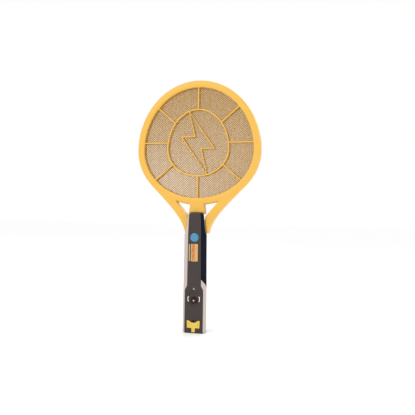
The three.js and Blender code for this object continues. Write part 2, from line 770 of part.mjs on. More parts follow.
// The outermost layer of the casing, where a pad lies.
const padLayer = cut(handleBody(1, [0, HANDLE_TOP]), handleBody(-PAD_THICKNESS, [-1, HANDLE_TOP + 1]));

// The right pad wraps over the shoulder. Its lower end is cut by a plane that falls outwards and backwards.
const PAD_LOW = STEP_Z + 11; // on the shoulder's edge
const PAD_FALL_OUT = 0.76; // fall of that plane per millimetre outwards
const PAD_FALL_BACK = 1.3; // and backwards
const PAD_TOP = HANDLE_TOP - 1.5;

function rightPadRegion(grow) {
  const [inner, outer] = [FACE_HALF_TOP - 4, HANDLE_HALF_BASE + 1];
  const depth = [FACE_Y - MARGIN, PARTING_Y];
  const normal = [PAD_FALL_OUT, PAD_FALL_BACK, 1];
  const length = Math.hypot(...normal);
  const level = PAD_LOW + PAD_FALL_OUT * (HANDLE_HALF_GRIP - 1.2) + PAD_FALL_BACK * SHOULDER_Y;
  const region = block([inner, outer], depth, [0, PAD_TOP + grow]);
  return region.trimByPlane(
    normal.map((n) => n / length),
    level / length - grow,
  );
}

function leftPadRegion(grow) {
  return block(
    [-HANDLE_HALF_BASE - 1, -HANDLE_HALF_TOP],
    [-9.4 - grow, -0.6 + grow],
    [STEP_Z + 22 - grow, SHOULDER_Z - 8 + grow],
  );
}

const rails = cut(
  casing.intersect(
    block(
      [-HANDLE_HALF_BASE - MARGIN, HANDLE_HALF_BASE + MARGIN],
      [FACE_Y - MARGIN, PARTING_Y],
      [-MARGIN, HANDLE_TOP + MARGIN],
    ),
  ),
  faceRegion(GAP),
);
const SOCKET_BACK = BOARD_FRONT - GAP;
const SOCKET_FRONT = SOCKET_BACK - 3;
const SOCKET_HALF = 4;
const socketWindow = block(
  [-HANDLE_HALF_BASE - 1, -HANDLE_HALF_BASE + WALL + 2],
  [SOCKET_FRONT - GAP, SOCKET_BACK + GAP],
  around(SOCKET_Z, SOCKET_HALF + GAP),
);
const sideRegion = { [-1]: besideX(-1, [FACE_Y - MARGIN, PARTING_Y]), 1: besideX(1, [FACE_Y - MARGIN, PARTING_Y]) };
const leftRail = rails.intersect(sideRegion[-1]);
const rightRail = rails.intersect(sideRegion[1]);
add("side_rail_left", cut(leftRail, padLayer.intersect(leftPadRegion(GAP)), socketWindow), white);
add("side_rail_right", cut(rightRail, padLayer.intersect(rightPadRegion(GAP))), white);

const outside = cut(handleBody(0, [0, HANDLE_TOP]), handleBody(GAP - PAD_THICKNESS, [-1, HANDLE_TOP + 1]));
add("grip_pad_left", outside.intersect(leftPadRegion(0)), rubber);
add("grip_pad_right", cut(outside.intersect(rightPadRegion(0)), faceRegion(GAP)), rubber);

const CAP_LENS_HOLE = LENS_RADIUS + GAP;
add(
  "end_cap",
  cut(
    handleBody(-WALL - GAP, [0, CAP_THICKNESS]),
    rodZ(0, 0, LENS_RADIUS - 1, [-1, CAP_THICKNESS + 1]),
    rodZ(0, 0, CAP_LENS_HOLE, [1, CAP_THICKNESS + 1]),
  ),
  black,
);

// ---------- torch in the handle's end ----------

const REFLECTOR_Z = CAP_THICKNESS + GAP;
const REFLECTOR_TOP = REFLECTOR_Z + 8.5;
add("torch_lens", rodZ(0, 0, LENS_RADIUS, [1 + GAP, CAP_THICKNESS]), clear);
add(
  "torch_reflector",
  turnedZ(0, 0, [
    [LENS_RADIUS - 0.4, REFLECTOR_Z],
    [LENS_RADIUS - 1.2, REFLECTOR_Z + 4],
    [3.6, REFLECTOR_TOP],
    [2.8, REFLECTOR_TOP],
    [LENS_RADIUS - 2.2, REFLECTOR_Z + 4],
    [LENS_RADIUS - 1.4, REFLECTOR_Z],
    [LENS_RADIUS - 0.4, REFLECTOR_Z],
  ]),
  chrome,
);
add("torch_led", rodZ(0, 0, 2.4, [REFLECTOR_TOP - 4, REFLECTOR_TOP + 2], 12), clear);

// ---------- electronics ----------

const SOCKET_TAB = HANDLE_HALF_BASE - WALL - 1.2; // the board's reach towards the inlet
const SOCKET_BOTTOM = -HANDLE_HALF_BASE + 5.6; // inner end of its opening
add(
  "circuit_board",
  cut(
    union(
      block(around(0, BOARD_HALF_WIDTH), [BOARD_FRONT, BOARD_BACK], [BOARD_Z, BOARD_TOP]),
      block([-SOCKET_TAB, 0], [BOARD_FRONT, BOARD_BACK], around(SOCKET_Z, SOCKET_HALF + 2)),
    ),
    ...CASE_SCREWS.map(([x, z]) => rodY(x, z, BOSS_RADIUS + GAP, [BOARD_FRONT - 1, BOARD_BACK + 1], 12)),
  ),
  board,
);
add(
  "charge_socket",
  cut(
    block(
      [-HANDLE_HALF_BASE + 1.4, SOCKET_BOTTOM + 0.8],
      [SOCKET_FRONT, SOCKET_BACK],
      around(SOCKET_Z, SOCKET_HALF),
    ),
    block(
      [-HANDLE_HALF_BASE - 1, SOCKET_BOTTOM],
      [SOCKET_FRONT + 0.5, SOCKET_BACK - 0.5],
      around(SOCKET_Z, SOCKET_HALF - 0.5),
    ),
  ),
  steel,
);

const PARTS_FRONT = BOARD_BACK + GAP; // parts on the board's back stand clear of it by the gap
const TRANSFORMER_Z = HANDLE_TOP - 61;
const TRANSFORMER_Y = PARTS_FRONT + 5.6;
add(
  "transformer_core",
  cut(
    block(around(0, 7.5), around(TRANSFORMER_Y, 2.8), around(TRANSFORMER_Z, 7.5)),
    block([2.2, 5.4], around(TRANSFORMER_Y, 4), around(TRANSFORMER_Z, 4.5)),
    block([-5.4, -2.2], around(TRANSFORMER_Y, 4), around(TRANSFORMER_Z, 4.5)),
  ),
  ferrite,
);
add(
  "transformer_winding",
  cut(
    block(around(0, 5), around(TRANSFORMER_Y, 5.4), around(TRANSFORMER_Z, 4.1)),
    block(around(0, 2.5), around(TRANSFORMER_Y, 3.1), around(TRANSFORMER_Z, 5)),
  ),
  copper,
);
const CAPACITOR_Z = TRANSFORMER_Z - 19;
add("hv_capacitor", block(around(0, 7), [PARTS_FRONT, PARTS_FRONT + 6.5], around(CAPACITOR_Z, 8)), film);
const MULTIPLIER_Z = MIDDLE_BOSS_Z + 11;
[-8, 0, 8].forEach((x, i) => {
  const body = block(around(x, 2.4), [PARTS_FRONT, PARTS_FRONT + 6], around(MULTIPLIER_Z, 4.4));
  add(`multiplier_capacitor_${i + 1}`, body, film);
});

add("battery_cell", rodZ(0, CELL_Y, CELL_RADIUS, [CELL_Z, CELL_TOP], 28), cellSleeve);

// A trough round the back of the cell.
function cradle() {
  const outer = CELL_RADIUS + GAP + CRADLE_WALL;
  const inner = CELL_RADIUS + GAP;
  const trough = new THREE.Shape();
  trough.absarc(0, 0, outer, 0, Math.PI, false);
  trough.absarc(0, 0, inner, Math.PI, 0, true);
  const length = CELL_LENGTH - 20;
  const geometry = new THREE.ExtrudeGeometry(trough, { depth: length, bevelEnabled: false, curveSegments: 14 });
  return solid(geometry.translate(0, CELL_Y, CELL_Z + 16)); // clear of the lower screws' bosses
}

add("battery_cradle", cradle(), black);

const WIRE_Y = PARTS_FRONT + WIRE_RADIUS;
add(
  "battery_wire_red",
  wire(
    [
      [0, CELL_Y, CELL_TOP + GAP + WIRE_RADIUS],
      [-4.5, CELL_Y - 2.5, CELL_TOP + 2.2],
      [-8, -1.2, CELL_TOP + 4],
      [-8.6, WIRE_Y, CELL_TOP + 8],
    ],
    WIRE_RADIUS,
    12,
  ),
  redWire,
);
add(
  "battery_wire_black",
  wire(
    [
      [0, CELL_Y, CELL_Z - GAP - WIRE_RADIUS],
      [-6, CELL_Y - 2.5, CELL_Z - 1.6],
      [-10, -0.6, CELL_Z],
      [-10.6, WIRE_Y, CELL_Z + 7],
    ],
    WIRE_RADIUS,
    12,
  ),
  blackWire,
);

// ---------- meshes, their spacers and the wires to them ----------

const meshPlaces = { front: -MESH_SPACING, centre: 0, rear: MESH_SPACING };
for (const [place, y] of Object.entries(meshPlaces)) {
  add(`mesh_${place}`, headDisc(MESH_INSET, around(y, MESH_THICKNESS / 2)), meshMetal);
}

const spacerInset = MESH_INSET + SPACER_WIDTH;
for (const [place, side] of [
  ["front", -1],
  ["rear", 1],
]) {
  const near = side * (MESH_THICKNESS / 2 + GAP);
  const far = side * (MESH_SPACING - MESH_THICKNESS / 2 - GAP);
  const [low, high] = side < 0 ? [far, near] : [near, far];
  const profile = [
    [MESH_INSET, low],
    [MESH_INSET, high],
    [spacerInset, high],
    [spacerInset, low],
  ];
  add(`mesh_spacer_${place}`, headRing(profile), yellow);
}

add("frame_front", frameHalf(-1), yellow);
add("frame_rear", frameHalf(1), yellow);

// One insulated lead for each mesh, from the board up the stem's channel.
const meshFoot = headPoint(MESH_INSET, 270)[1];
Object.entries(meshPlaces).forEach(([place, y], i) => {
  const x = 5 * (i - 1);
  const tongueEnd = HANDLE_TOP - TONGUE_LENGTH;
  const route = [
    [x, WIRE_Y, BOARD_TOP - 8],
    [x, WIRE_Y, BOARD_TOP - 3],
    [x / 4, (WIRE_Y + y) / 2, tongueEnd - 2],
    [0, 0.6 * y, tongueEnd + 5],
    [0, 0.8 * y, (tongueEnd + meshFoot) / 2],
    [0, y, meshFoot - GAP],
  ];
  add(`hv_lead_${place}`, wire(route, WIRE_RADIUS, 20), y ? blackWire : redWire);
});

CASE_SCREWS.forEach(([x, z, back], i) => {
  add(`case_screw_${i + 1}`, screw(x, z, CASE_SCREW_TIP, back), steel);
});
frameScrewPlaces().forEach(([x, z], i) => {
  add(`frame_screw_${i + 1}`, screw(x, z, FRAME_SCREW_TIP, FRAME_SCREW_BACK), steel);
});

export default group;
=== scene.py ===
"""Looks of an electric fly swatter: a yellow racket frame with three metal meshes on a battery handle.

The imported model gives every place. Lengths here are millimetres until a mesh is made, and metres after.
"""

import math

import bmesh
import bpy
import numpy as np
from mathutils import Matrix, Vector


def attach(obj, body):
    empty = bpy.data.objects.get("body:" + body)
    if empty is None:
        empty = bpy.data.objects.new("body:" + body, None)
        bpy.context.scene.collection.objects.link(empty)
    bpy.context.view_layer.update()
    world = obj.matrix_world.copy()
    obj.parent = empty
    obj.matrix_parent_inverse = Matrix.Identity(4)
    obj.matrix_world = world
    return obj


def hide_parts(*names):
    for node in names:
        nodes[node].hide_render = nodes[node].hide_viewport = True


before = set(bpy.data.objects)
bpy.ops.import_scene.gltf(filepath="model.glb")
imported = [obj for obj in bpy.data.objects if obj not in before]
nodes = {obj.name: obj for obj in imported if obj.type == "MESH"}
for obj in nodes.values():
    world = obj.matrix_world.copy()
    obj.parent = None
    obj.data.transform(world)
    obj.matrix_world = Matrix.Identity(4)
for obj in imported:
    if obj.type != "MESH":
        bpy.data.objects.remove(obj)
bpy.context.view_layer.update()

# ---------- camera, floor and light ----------
# The view is level with the swatter's middle and sixteen degrees to its right, from arm's length and a half.
# A pale floor and three large soft lamps make a plain studio.

VIEW_DISTANCE = 1.072
VIEW_MIDDLE = (0.0175, 0.0, 0.2156)
VIEW_TURN = math.radians(16)
VIEW_ROLL = math.radians(0.8)


def placed(name, data):
    """A new object, linked into the scene."""
    made = bpy.data.objects.new(name, data)
    bpy.context.scene.collection.objects.link(made)
    return made


def view_matrix():
    """Columns are the camera's right, up and backward directions: turned about Z, then rolled on its axis."""
    forward = np.array([-math.sin(VIEW_TURN), math.cos(VIEW_TURN), 0.0])
    level = np.array([math.cos(VIEW_TURN), math.sin(VIEW_TURN), 0.0])
    upright = np.array([0.0, 0.0, 1.0])
    right = level * math.cos(VIEW_ROLL) + upright * math.sin(VIEW_ROLL)
    up = upright * math.cos(VIEW_ROLL) - level * math.sin(VIEW_ROLL)
    matrix = np.eye(4)
    matrix[:3, 0], matrix[:3, 1], matrix[:3, 2] = right, up, -forward
    matrix[:3, 3] = np.array(VIEW_MIDDLE) - VIEW_DISTANCE * forward
    return matrix


scene = bpy.context.scene
camera_data = bpy.data.cameras.new("view")
camera_data.lens = 53.76
camera_data.sensor_width = 36
camera = placed("view", camera_data)
camera.matrix_world = view_matrix().T.tolist()
scene.camera = camera
scene.view_settings.view_transform = "Standard"


def soft_lamp(name, place, aim, size, watts, colour):
    """A square area lamp at a place, turned so that its face looks at aim."""
    data = bpy.data.lights.new(name, "AREA")
    data.size = size
    data.energy = watts
    data.color = colour
    lamp = placed(name, data)
    direction = np.array(aim, float) - np.array(place, float)
    lamp.rotation_euler = Vector(direction).to_track_quat("-Z", "Y").to_euler()
    lamp.location = place


soft_lamp("lamp_front", (-0.9, -1.6, 1.5), (0, 0, 0.24), 1.4, 12, (1.0, 0.98, 0.95))
soft_lamp("lamp_side", (1.5, -0.6, 0.7), (0, 0, 0.24), 0.9, 4, (0.95, 0.97, 1.0))
soft_lamp("lamp_behind", (0.3, 1.6, 1.3), (0, 0, 0.24), 1.4, 8, (1.0, 1.0, 1.0))
world = bpy.data.worlds.new("studio")
world.use_nodes = True
sky = world.node_tree.nodes["Background"]
sky.inputs["Color"].default_value = (1.0, 1.0, 1.0, 1)
sky.inputs["Strength"].default_value = 1.0
scene.world = world



def new_material(name):
    """An empty material with its node tree and its shader's inputs."""
    made = bpy.data.materials.new(name)
    made.use_nodes = True
    return made, made.node_tree, made.node_tree.nodes["Principled BSDF"].inputs


FLOOR_HALF = 6.0
floor_mesh = bpy.data.meshes.new("floor")
floor_corners = [(FLOOR_HALF * x, FLOOR_HALF * y, 0) for x, y in ((-1, -1), (1, -1), (1, 1), (-1, 1))]
floor_mesh.from_pydata(floor_corners, [], [(0, 1, 2, 3)])
floor = placed("floor", floor_mesh)
floor_paint, _, floor_shader = new_material("floor_paint")
floor_shader["Base Color"].default_value = (0.98, 0.98, 0.98, 1)
floor_shader["Roughness"].default_value = 0.6
floor_mesh.materials.append(floor_paint)

# ---------- racket frame: two moulded halves ----------
# Each half is one piece of glossy yellow plastic: an egg-shaped rim, two arms, a stem, and a guard of thin
# ribs over the mesh. The halves are screwed together from the back. They meet along the rim's edge.

GAP = 0.3
HEAD_HALF_WIDTH = 110.5
HEAD_UP = 120.5
HEAD_DOWN = 94.5
HEAD_Z = 314.5
GUARD_Z = 327.5
RIM_WIDTH = 12.2
LIP_Y = 4.55
SEAT_INSET = 7.9
HANDLE_TOP = 206.0


def shader_node(tree, kind, inputs, **settings):
    """A shader node: its settings first, then each input, linked where the given value is another socket."""
    node = tree.nodes.new("ShaderNode" + kind)
    for name, value in settings.items():
        setattr(node, name, value)
    for key, value in inputs.items():
        if isinstance(value, bpy.types.NodeSocket):
            tree.links.new(value, node.inputs[key])
        else:
            node.inputs[key].default_value = value
    return node


def moulded_detail():
    """Node group for moulded plastic: fine grain, faint flow clouds in its colour, and handling marks in its
    gloss. The marks are the peaks of a noise stretched upwards."""
    group = bpy.data.node_groups.new("moulded_detail", "ShaderNodeTree")
    socket = group.interface.new_socket
    for name, kind, value in [
        ("Colour", "NodeSocketColor", (0.5, 0.5, 0.5, 1)),
        ("Cloud Colour", "NodeSocketColor", (0.5, 0.5, 0.5, 1)),
        ("Cloud", "NodeSocketFloat", 0.3),
        ("Roughness", "NodeSocketFloat", 0.4),
        ("Marks", "NodeSocketFloat", 0.1),
        ("Grain Scale", "NodeSocketFloat", 900.0),
    ]:
        socket(name, in_out="INPUT", socket_type=kind).default_value = value
    socket("Colour", in_out="OUTPUT", socket_type="NodeSocketColor")
    socket("Roughness", in_out="OUTPUT", socket_type="NodeSocketFloat")
    socket("Height", in_out="OUTPUT", socket_type="NodeSocketFloat")
    given = group.nodes.new("NodeGroupInput").outputs
    result = group.nodes.new("NodeGroupOutput").inputs
    place = shader_node(group, "TexCoord", {}).outputs["Object"]
    clouds = shader_node(group, "TexNoise", {"Vector": place, "Scale": 45, "Detail": 3})
    share = shader_node(group, "Math", {0: clouds.outputs["Fac"], 1: given["Cloud"]}, operation="MULTIPLY")
    colours = {"Factor": share.outputs[0], "A": given["Colour"], "B": given["Cloud Colour"]}
    tint = shader_node(group, "Mix", colours, data_type="RGBA")
    stretch = shader_node(group, "Mapping", {"Vector": place, "Scale": (1.0, 1.0, 0.18)})
    streaks = shader_node(group, "TexNoise", {"Vector": stretch.outputs[0], "Scale": 420, "Detail": 2})
    limits = {"Value": streaks.outputs["Fac"], "From Min": 0.52, "From Max": 0.78}
    peaks = shader_node(group, "MapRange", limits)
    wear = {0: peaks.outputs["Result"], 1: given["Marks"], 2: given["Roughness"]}
    worn = shader_node(group, "Math", wear, operation="MULTIPLY_ADD")
    grain = shader_node(group, "TexNoise", {"Vector": place, "Scale": given["Grain Scale"], "Detail": 2})
    group.links.new(tint.outputs["Result"], result["Colour"])
    group.links.new(worn.outputs[0], result["Roughness"])
    group.links.new(grain.outputs["Fac"], result["Height"])
    return group


MOULDED_DETAIL = moulded_detail()
GRAIN_HEIGHT = 0.0002


def moulded(
    name, colour, cloud_colour, *, roughness, grain, bump,
    cloud=0.6, marks=0.1, coat=0.0, metallic=0.0, specular=0.5,
):
    """A plastic or metal finish whose colour, gloss and grain come from the moulded_detail group."""
    made, tree, shader = new_material(name)
    values = {
        "Colour": (*colour, 1),
        "Cloud Colour": (*cloud_colour, 1),
        "Cloud": cloud,
        "Roughness": roughness,
        "Marks": marks,
        "Grain Scale": grain,
    }
    detail = shader_node(tree, "Group", values, node_tree=MOULDED_DETAIL)
    relief = {"Height": detail.outputs["Height"], "Strength": bump, "Distance": GRAIN_HEIGHT}
    relief = shader_node(tree, "Bump", relief)
    tree.links.new(relief.outputs["Normal"], shader["Normal"])
    tree.links.new(detail.outputs["Colour"], shader["Base Color"])
    tree.links.new(detail.outputs["Roughness"], shader["Roughness"])
    shader["Coat Weight"].default_value = coat
    shader["Coat Roughness"].default_value = 0.15
    shader["Metallic"].default_value = metallic
    shader["Specular IOR Level"].default_value = specular
    return made


FRAME_PLASTIC = moulded(
    "frame_plastic", (0.74, 0.41, 0.05), (0.76, 0.46, 0.09),
    cloud=0.5, roughness=0.36, marks=0.12, grain=1400, bump=0.12, coat=0.1, specular=0.4,
)


SHARP_DEGREES = 35.0


def mesh_object(name, points, faces, sharp_degrees=SHARP_DEGREES, turn_out=True):
    """A mesh object from points in millimetres. Faces turn outwards, and edges past the angle stay sharp."""
    mesh = bpy.data.meshes.new(name)
    mesh.from_pydata((np.asarray(points, float) * 0.001).tolist(), [], faces)
    if turn_out:
        shell = bmesh.new()
        shell.from_mesh(mesh)
        bmesh.ops.recalc_face_normals(shell, faces=shell.faces)
        shell.to_mesh(mesh)
        shell.free()
    mesh.shade_smooth()
    mesh.set_sharp_from_angle(angle=math.radians(sharp_degrees))
    return placed(name, mesh)


def band_faces(rings, count, loop=False):
    """Quads between neighbouring rings of count points each. One face closes each end of an open band."""
    ring = np.arange(rings if loop else rings - 1)[:, None]
    side = np.arange(count)[None, :]
    here, after, beside = ring * count, (ring + 1) % rings * count, (side + 1) % count
    quads = np.stack([here + side, here + beside, after + beside, after + side], -1)
    faces = quads.reshape(-1, 4).tolist()
    if not loop:
        faces.append(list(range(count))[::-1])
        faces.append(list(range((rings - 1) * count, rings * count)))
    return faces


def lofted(name, rings, loop=False):
    """A closed skin over rings of points: an array of ring, point and x y z."""
    rings = np.asarray(rings, float)
    return mesh_object(name, rings.reshape(-1, 3), band_faces(*rings.shape[:2], loop))


def at_depth(flat, y):
    """Points (x, z) of the front view at a depth, or at one depth each."""
    return np.stack([flat[..., 0], np.broadcast_to(y, flat.shape[:-1]), flat[..., 1]], -1)


def combined(base, tools, operation):
    """The base joined with, cut by, or kept within each tool in turn, as one mesh. It uses the tools up."""
    for tool in tools:
        step = base.modifiers.new("combine", "BOOLEAN")
        step.operation = operation
        step.solver = "MANIFOLD"
        step.object = tool
    done = base.evaluated_get(bpy.context.evaluated_depsgraph_get())
    result = bpy.data.meshes.new_from_object(done)
    base.modifiers.clear()
    base.data = result
    result.shade_smooth()
    result.set_sharp_from_angle(angle=math.radians(SHARP_DEGREES))
    for tool in tools:
        bpy.data.objects.remove(tool)
    return base


def paint(piece, material):
    """Gives a piece one material in place of what it had."""
    piece.data.materials.clear()
    piece.data.materials.append(material)


def settle(made, material, slot, *stands_for, body="swatter"):
    """Gives a finished piece its material and its body, and hides the nodes that it stands for. The slot is
    not used.
    """
    paint(made, material)
    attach(made, body)
    if stands_for:
        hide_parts(*stands_for)


def full_turn(count):
    """Angles at even steps, once round."""
    return np.linspace(0, 2 * np.pi, count, endpoint=False)


def egg(half_width, up, down, middle, angle):
    """Points of an egg: x = w cos a, z = middle + h sin a, where h is up above the middle and down below."""
    height = np.where(np.sin(angle) > 0, up, down)
    return np.stack([half_width * np.cos(angle), middle + height * np.sin(angle)], -1)


def head_shape(inset):
    """The half width, up, down and middle of the head's outline, this far in from its outside."""
    return HEAD_HALF_WIDTH - inset, HEAD_UP - inset, HEAD_DOWN - inset, HEAD_Z


def head_egg(inset, angle):
    """Points of the head's outline this far in from its outside."""
    return egg(*head_shape(inset), angle)


def quarter(centre, radii, start, end, steps):
    """Part of an ellipse: centre + radii (cos a, sin a), with a from start to end degrees."""
    a = np.radians(np.linspace(start, end, steps))
    return np.stack([centre[0] + radii[0] * np.cos(a), centre[1] + radii[1] * np.sin(a)], -1)


def rim_section():
    """The rim's closed section as inset and depth: a round outer shoulder, a low crown, a steeper inner
    shoulder, then the lip over the mesh and the seat behind it."""
    seam = GAP / 2
    return np.concatenate(
        [
            [[0.45, seam], [0.0, seam + 0.45]],
            quarter((5.4, 4.4), (5.4, 3.6), 180, 90, 9),
            quarter((8.4, 5.5), (3.8, 2.5), 90, 0, 8),
            [[RIM_WIDTH, LIP_Y], [SEAT_INSET, LIP_Y], [SEAT_INSET, seam]],
        ]
    )


def rim(name, side):
    """The rim: its section carried round the egg. Side is -1 for the front and 1 for the back."""
    angle = full_turn(288)
    rings = [at_depth(head_egg(inset, angle), side * depth) for inset, depth in rim_section()]
    return lofted(name, np.transpose(rings, (1, 0, 2)), loop=True)


def one_long(vectors):
    """Each vector at a length of one."""
    return vectors / np.linalg.norm(vectors, axis=1, keepdims=True)


def square_to(direction):
    """Each direction (x, z) turned by a quarter turn, to (-z, x)."""
    return np.stack([-direction[:, 1], direction[:, 0]], -1)


MITRE_LIMIT = 3.0


def carried(name, path, section, loop):
    """A section of (across, y) points carried along a flat path of (x, z) points, mitred where it turns."""
    path = np.asarray(path, float)
    ahead = np.roll(path, -1, 0) - path
    if not loop:
        ahead[-1] = ahead[-2]
    ahead = one_long(ahead)
    behind = np.roll(ahead, 1, 0)
    if not loop:
        behind[0] = ahead[0]
    mitre = one_long(square_to(ahead + behind))
    mitre /= np.maximum((mitre * square_to(ahead)).sum(1, keepdims=True), 1 / MITRE_LIMIT)
    flat = path[:, None, :] + mitre[:, None, :] * section[None, :, :1]
    return lofted(name, at_depth(flat, section[:, 1]), loop)


def rib_section(side, width):
    """A rib's section: a flat back on the mesh, short straight sides and a rounded front."""
    front = quarter((0, LIP_Y + 0.75), (width / 2, 1.15), 0, 180, 9)
    section = np.concatenate([[[width / 2, LIP_Y]], front, [[-width / 2, LIP_Y]]])
    return section * [1, side]


HOOP = (55.0, 68.0, 47.0, 317.0)  # half width, up, down and middle


def reach(angle, half_width, up, down, middle):
    """How far an egg's edge lies from the guard's centre in a direction: the last small step inside it."""
    steps = np.linspace(20, 130, 11001)
    x, z = steps * math.cos(angle), GUARD_Z + steps * math.sin(angle) - middle
    return steps[(x / half_width) ** 2 + (z / np.where(z > 0, up, down)) ** 2 < 1].max()


BOLT_HALF = [(-16.5, 54.5), (-5.5, 10.6), (-29.5, 9.9)]
HOOP_WIDTH, SPOKE_WIDTH, BOLT_WIDTH = 2.5, 2.3, 2.1
SPOKE_SUNK = 2.5  # how far a spoke's end runs into the rim


def guard_ribs(name, side):
    """The hoop, eight spokes from it to inside the rim, and the outline of a lightning bolt within it."""
    hoop_path = egg(*HOOP, full_turn(180))
    ribs = [carried(name + "_hoop", hoop_path, rib_section(side, HOOP_WIDTH), True)]
    for degrees in (0, 40, 90, 140, 180, 220, 270, 320):
        a = math.radians(degrees)
        ends = np.array([reach(a, *HOOP), reach(a, *head_shape(RIM_WIDTH - SPOKE_SUNK))])
        path = np.stack([ends * math.cos(a), GUARD_Z + ends * math.sin(a)], -1)
        ribs.append(carried(name + "_spoke", path, rib_section(side, SPOKE_WIDTH), False))
    corners = np.array(BOLT_HALF)
    outline = np.concatenate([corners, -corners]) + [0, GUARD_Z]
    ribs.append(carried(name + "_bolt", outline, rib_section(side, BOLT_WIDTH), True))
    return ribs


def bezier(points, count):
    """A cubic Bezier curve: (1-t)^3 a + 3 t (1-t)^2 b + 3 t^2 (1-t) c + t^3 d."""
    t = np.linspace(0, 1, count)[:, None]
    a, b, c, d = np.asarray(points, float)
    return (1 - t) ** 3 * a + 3 * t * (1 - t) ** 2 * b + 3 * t**2 * (1 - t) * c + t**3 * d


def along(points, count):
    """Points at even shares of the length of a polyline."""
    points = np.asarray(points, float)
    length = np.concatenate([[0], np.cumsum(np.linalg.norm(np.diff(points, axis=0), axis=1))])
    share = np.linspace(0, length[-1], count)
    return np.stack([np.interp(share, length, points[:, k]) for k in range(points.shape[1])], -1)


def strip(name, outer, inner, side, depth, outer_round, inner_round):
    """A bar between two edges of the front view: flat in front, with a quarter-round shoulder along each."""
    seam = GAP / 2
    across = one_long(inner - outer)
    low = quarter((outer_round, depth - outer_round), (outer_round, outer_round), 180, 90, 6)
    high = quarter((inner_round, depth - inner_round), (inner_round, inner_round), 90, 180, 6)
    from_outer = [outer + across * a for a in low[:, 0]]
    from_inner = [inner - across * a for a in high[:, 0]]
    lines = [outer, *from_outer, *from_inner, inner]
    depths = [seam, *low[:, 1], *high[:, 1], seam]
    points = [at_depth(flat, side * y) for flat, y in zip(lines, depths)]
    return lofted(name, np.transpose(points, (1, 0, 2)))


ARM_FOOT = (21.0, 171.0)


def arm(name, side, hand):
    """An arm: it leaves the rim along its tangent and sweeps down to the handle. Hand is -1 for left."""
    start = head_egg(0, np.array(math.radians(-41)))
    shape = [start, (start[0] * 0.6, start[1] - 33), (ARM_FOOT[0] + 3.5, ARM_FOOT[1] + 24), ARM_FOOT]
    outer = along(bezier(shape, 120), 60)
    under_rim = head_egg(7, np.radians(np.linspace(-43, -66, 12)))
    inner = np.concatenate([under_rim, [(35.7, 223.0), (16.6, 201.0), (14.0, 192.0), (13.0, 171.0)]])
    inner = along(inner, 60)
    mirror = np.array([hand, 1])
    return strip(name, outer * mirror, inner * mirror, side, 7.75, 2.6, 1.0)


def box_tool(name, low, high):
    """A plain box, used to cut with or hidden inside."""
    (x0, y0, z0), (x1, y1, z1) = low, high
    return lofted(name, [[(x0, y0, z), (x1, y0, z), (x1, y1, z), (x0, y1, z)] for z in (z0, z1)])


def turned(name, x, z, radii, ys, count=56):
    """A profile turned about the Y axis: each radius and y makes a ring, and a face closes each end."""
    a = full_turn(count)
    circle = np.stack([np.cos(a), np.sin(a)], -1)
    flat = np.asarray(radii, float)[:, None, None] * circle + (x, z)
    return lofted(name, at_depth(flat, np.asarray(ys, float)[:, None]))


def rod_y(name, x, z, radius, low, high, count=40):
    """A round bar along Y."""
    return turned(name, x, z, [radius, radius], [low, high], count)


FRAME_SCREWS = [(7.3, 222.0)] + [
    tuple(head_egg(SEAT_INSET / 2, np.array(math.radians(a)))) for a in (20, 90, 160, 205, 335)
]


ARC_STEPS = 4


def rounded(points, cut):
    """A closed polygon with each corner replaced by a quadratic arc, (1-t)^2 a + 2 t (1-t) corner + t^2 b,
    whose ends a and b lie the cut away along the two edges, or 0.45 of an edge where that is shorter."""
    points = np.asarray(points, float)
    cut = np.broadcast_to(np.asarray(cut, float), points.shape[:-1])[..., None]

    def toward(other):
        edge = other - points
        length = np.linalg.norm(edge, axis=-1, keepdims=True)
        return points + edge / length * np.minimum(cut, 0.45 * length)

    a, b = toward(np.roll(points, 1, -2)), toward(np.roll(points, -1, -2))
    t = np.linspace(0, 1, ARC_STEPS)[:, None]
    corner, a, b = points[..., None, :], a[..., None, :], b[..., None, :]
    arcs = (1 - t) ** 2 * a + 2 * t * (1 - t) * corner + t**2 * b
    return arcs.reshape(*points.shape[:-2], -1, 2)


# Up the handle: height and half width of the casing, and of its raised front face.
CASING_WIDTHS = [(-20, 21.07), (74, 20.6), (170, 19.5), (171.6, 17.7)]
CASING_WIDTHS += [(185.6, 15.6), (202, 14.2), (206, 13.0), (212, 11.2)]
FACE_WIDTHS = [(-20, 16.2), (74, 16.2), (81, 12.2), (172, 11.4)]
FACE_WIDTHS += [(202, 10.4), (204.8, 9.4), (206, 7.4), (207, 5.0)]
CASING_CUT, FACE_CUT = 1.5, 1.8  # how far the corners of these two outlines are cut back
FACE_Y = -17.0
FACE_RAISE = 0.8  # the face stands this far above the side rails
SHOULDER_Y = -14.4  # where the rails' front turns to the flank
BACK_Y = 18.8
WALL = 2.4


def softened(table, cut, levels):
    """A table's value at each level, after its corners are rounded."""
    line = rounded(table, cut)[ARC_STEPS:-ARC_STEPS]
    line = np.concatenate([[table[0]], line, [table[-1]]])
    return np.interp(levels, line[:, 0], line[:, 1])


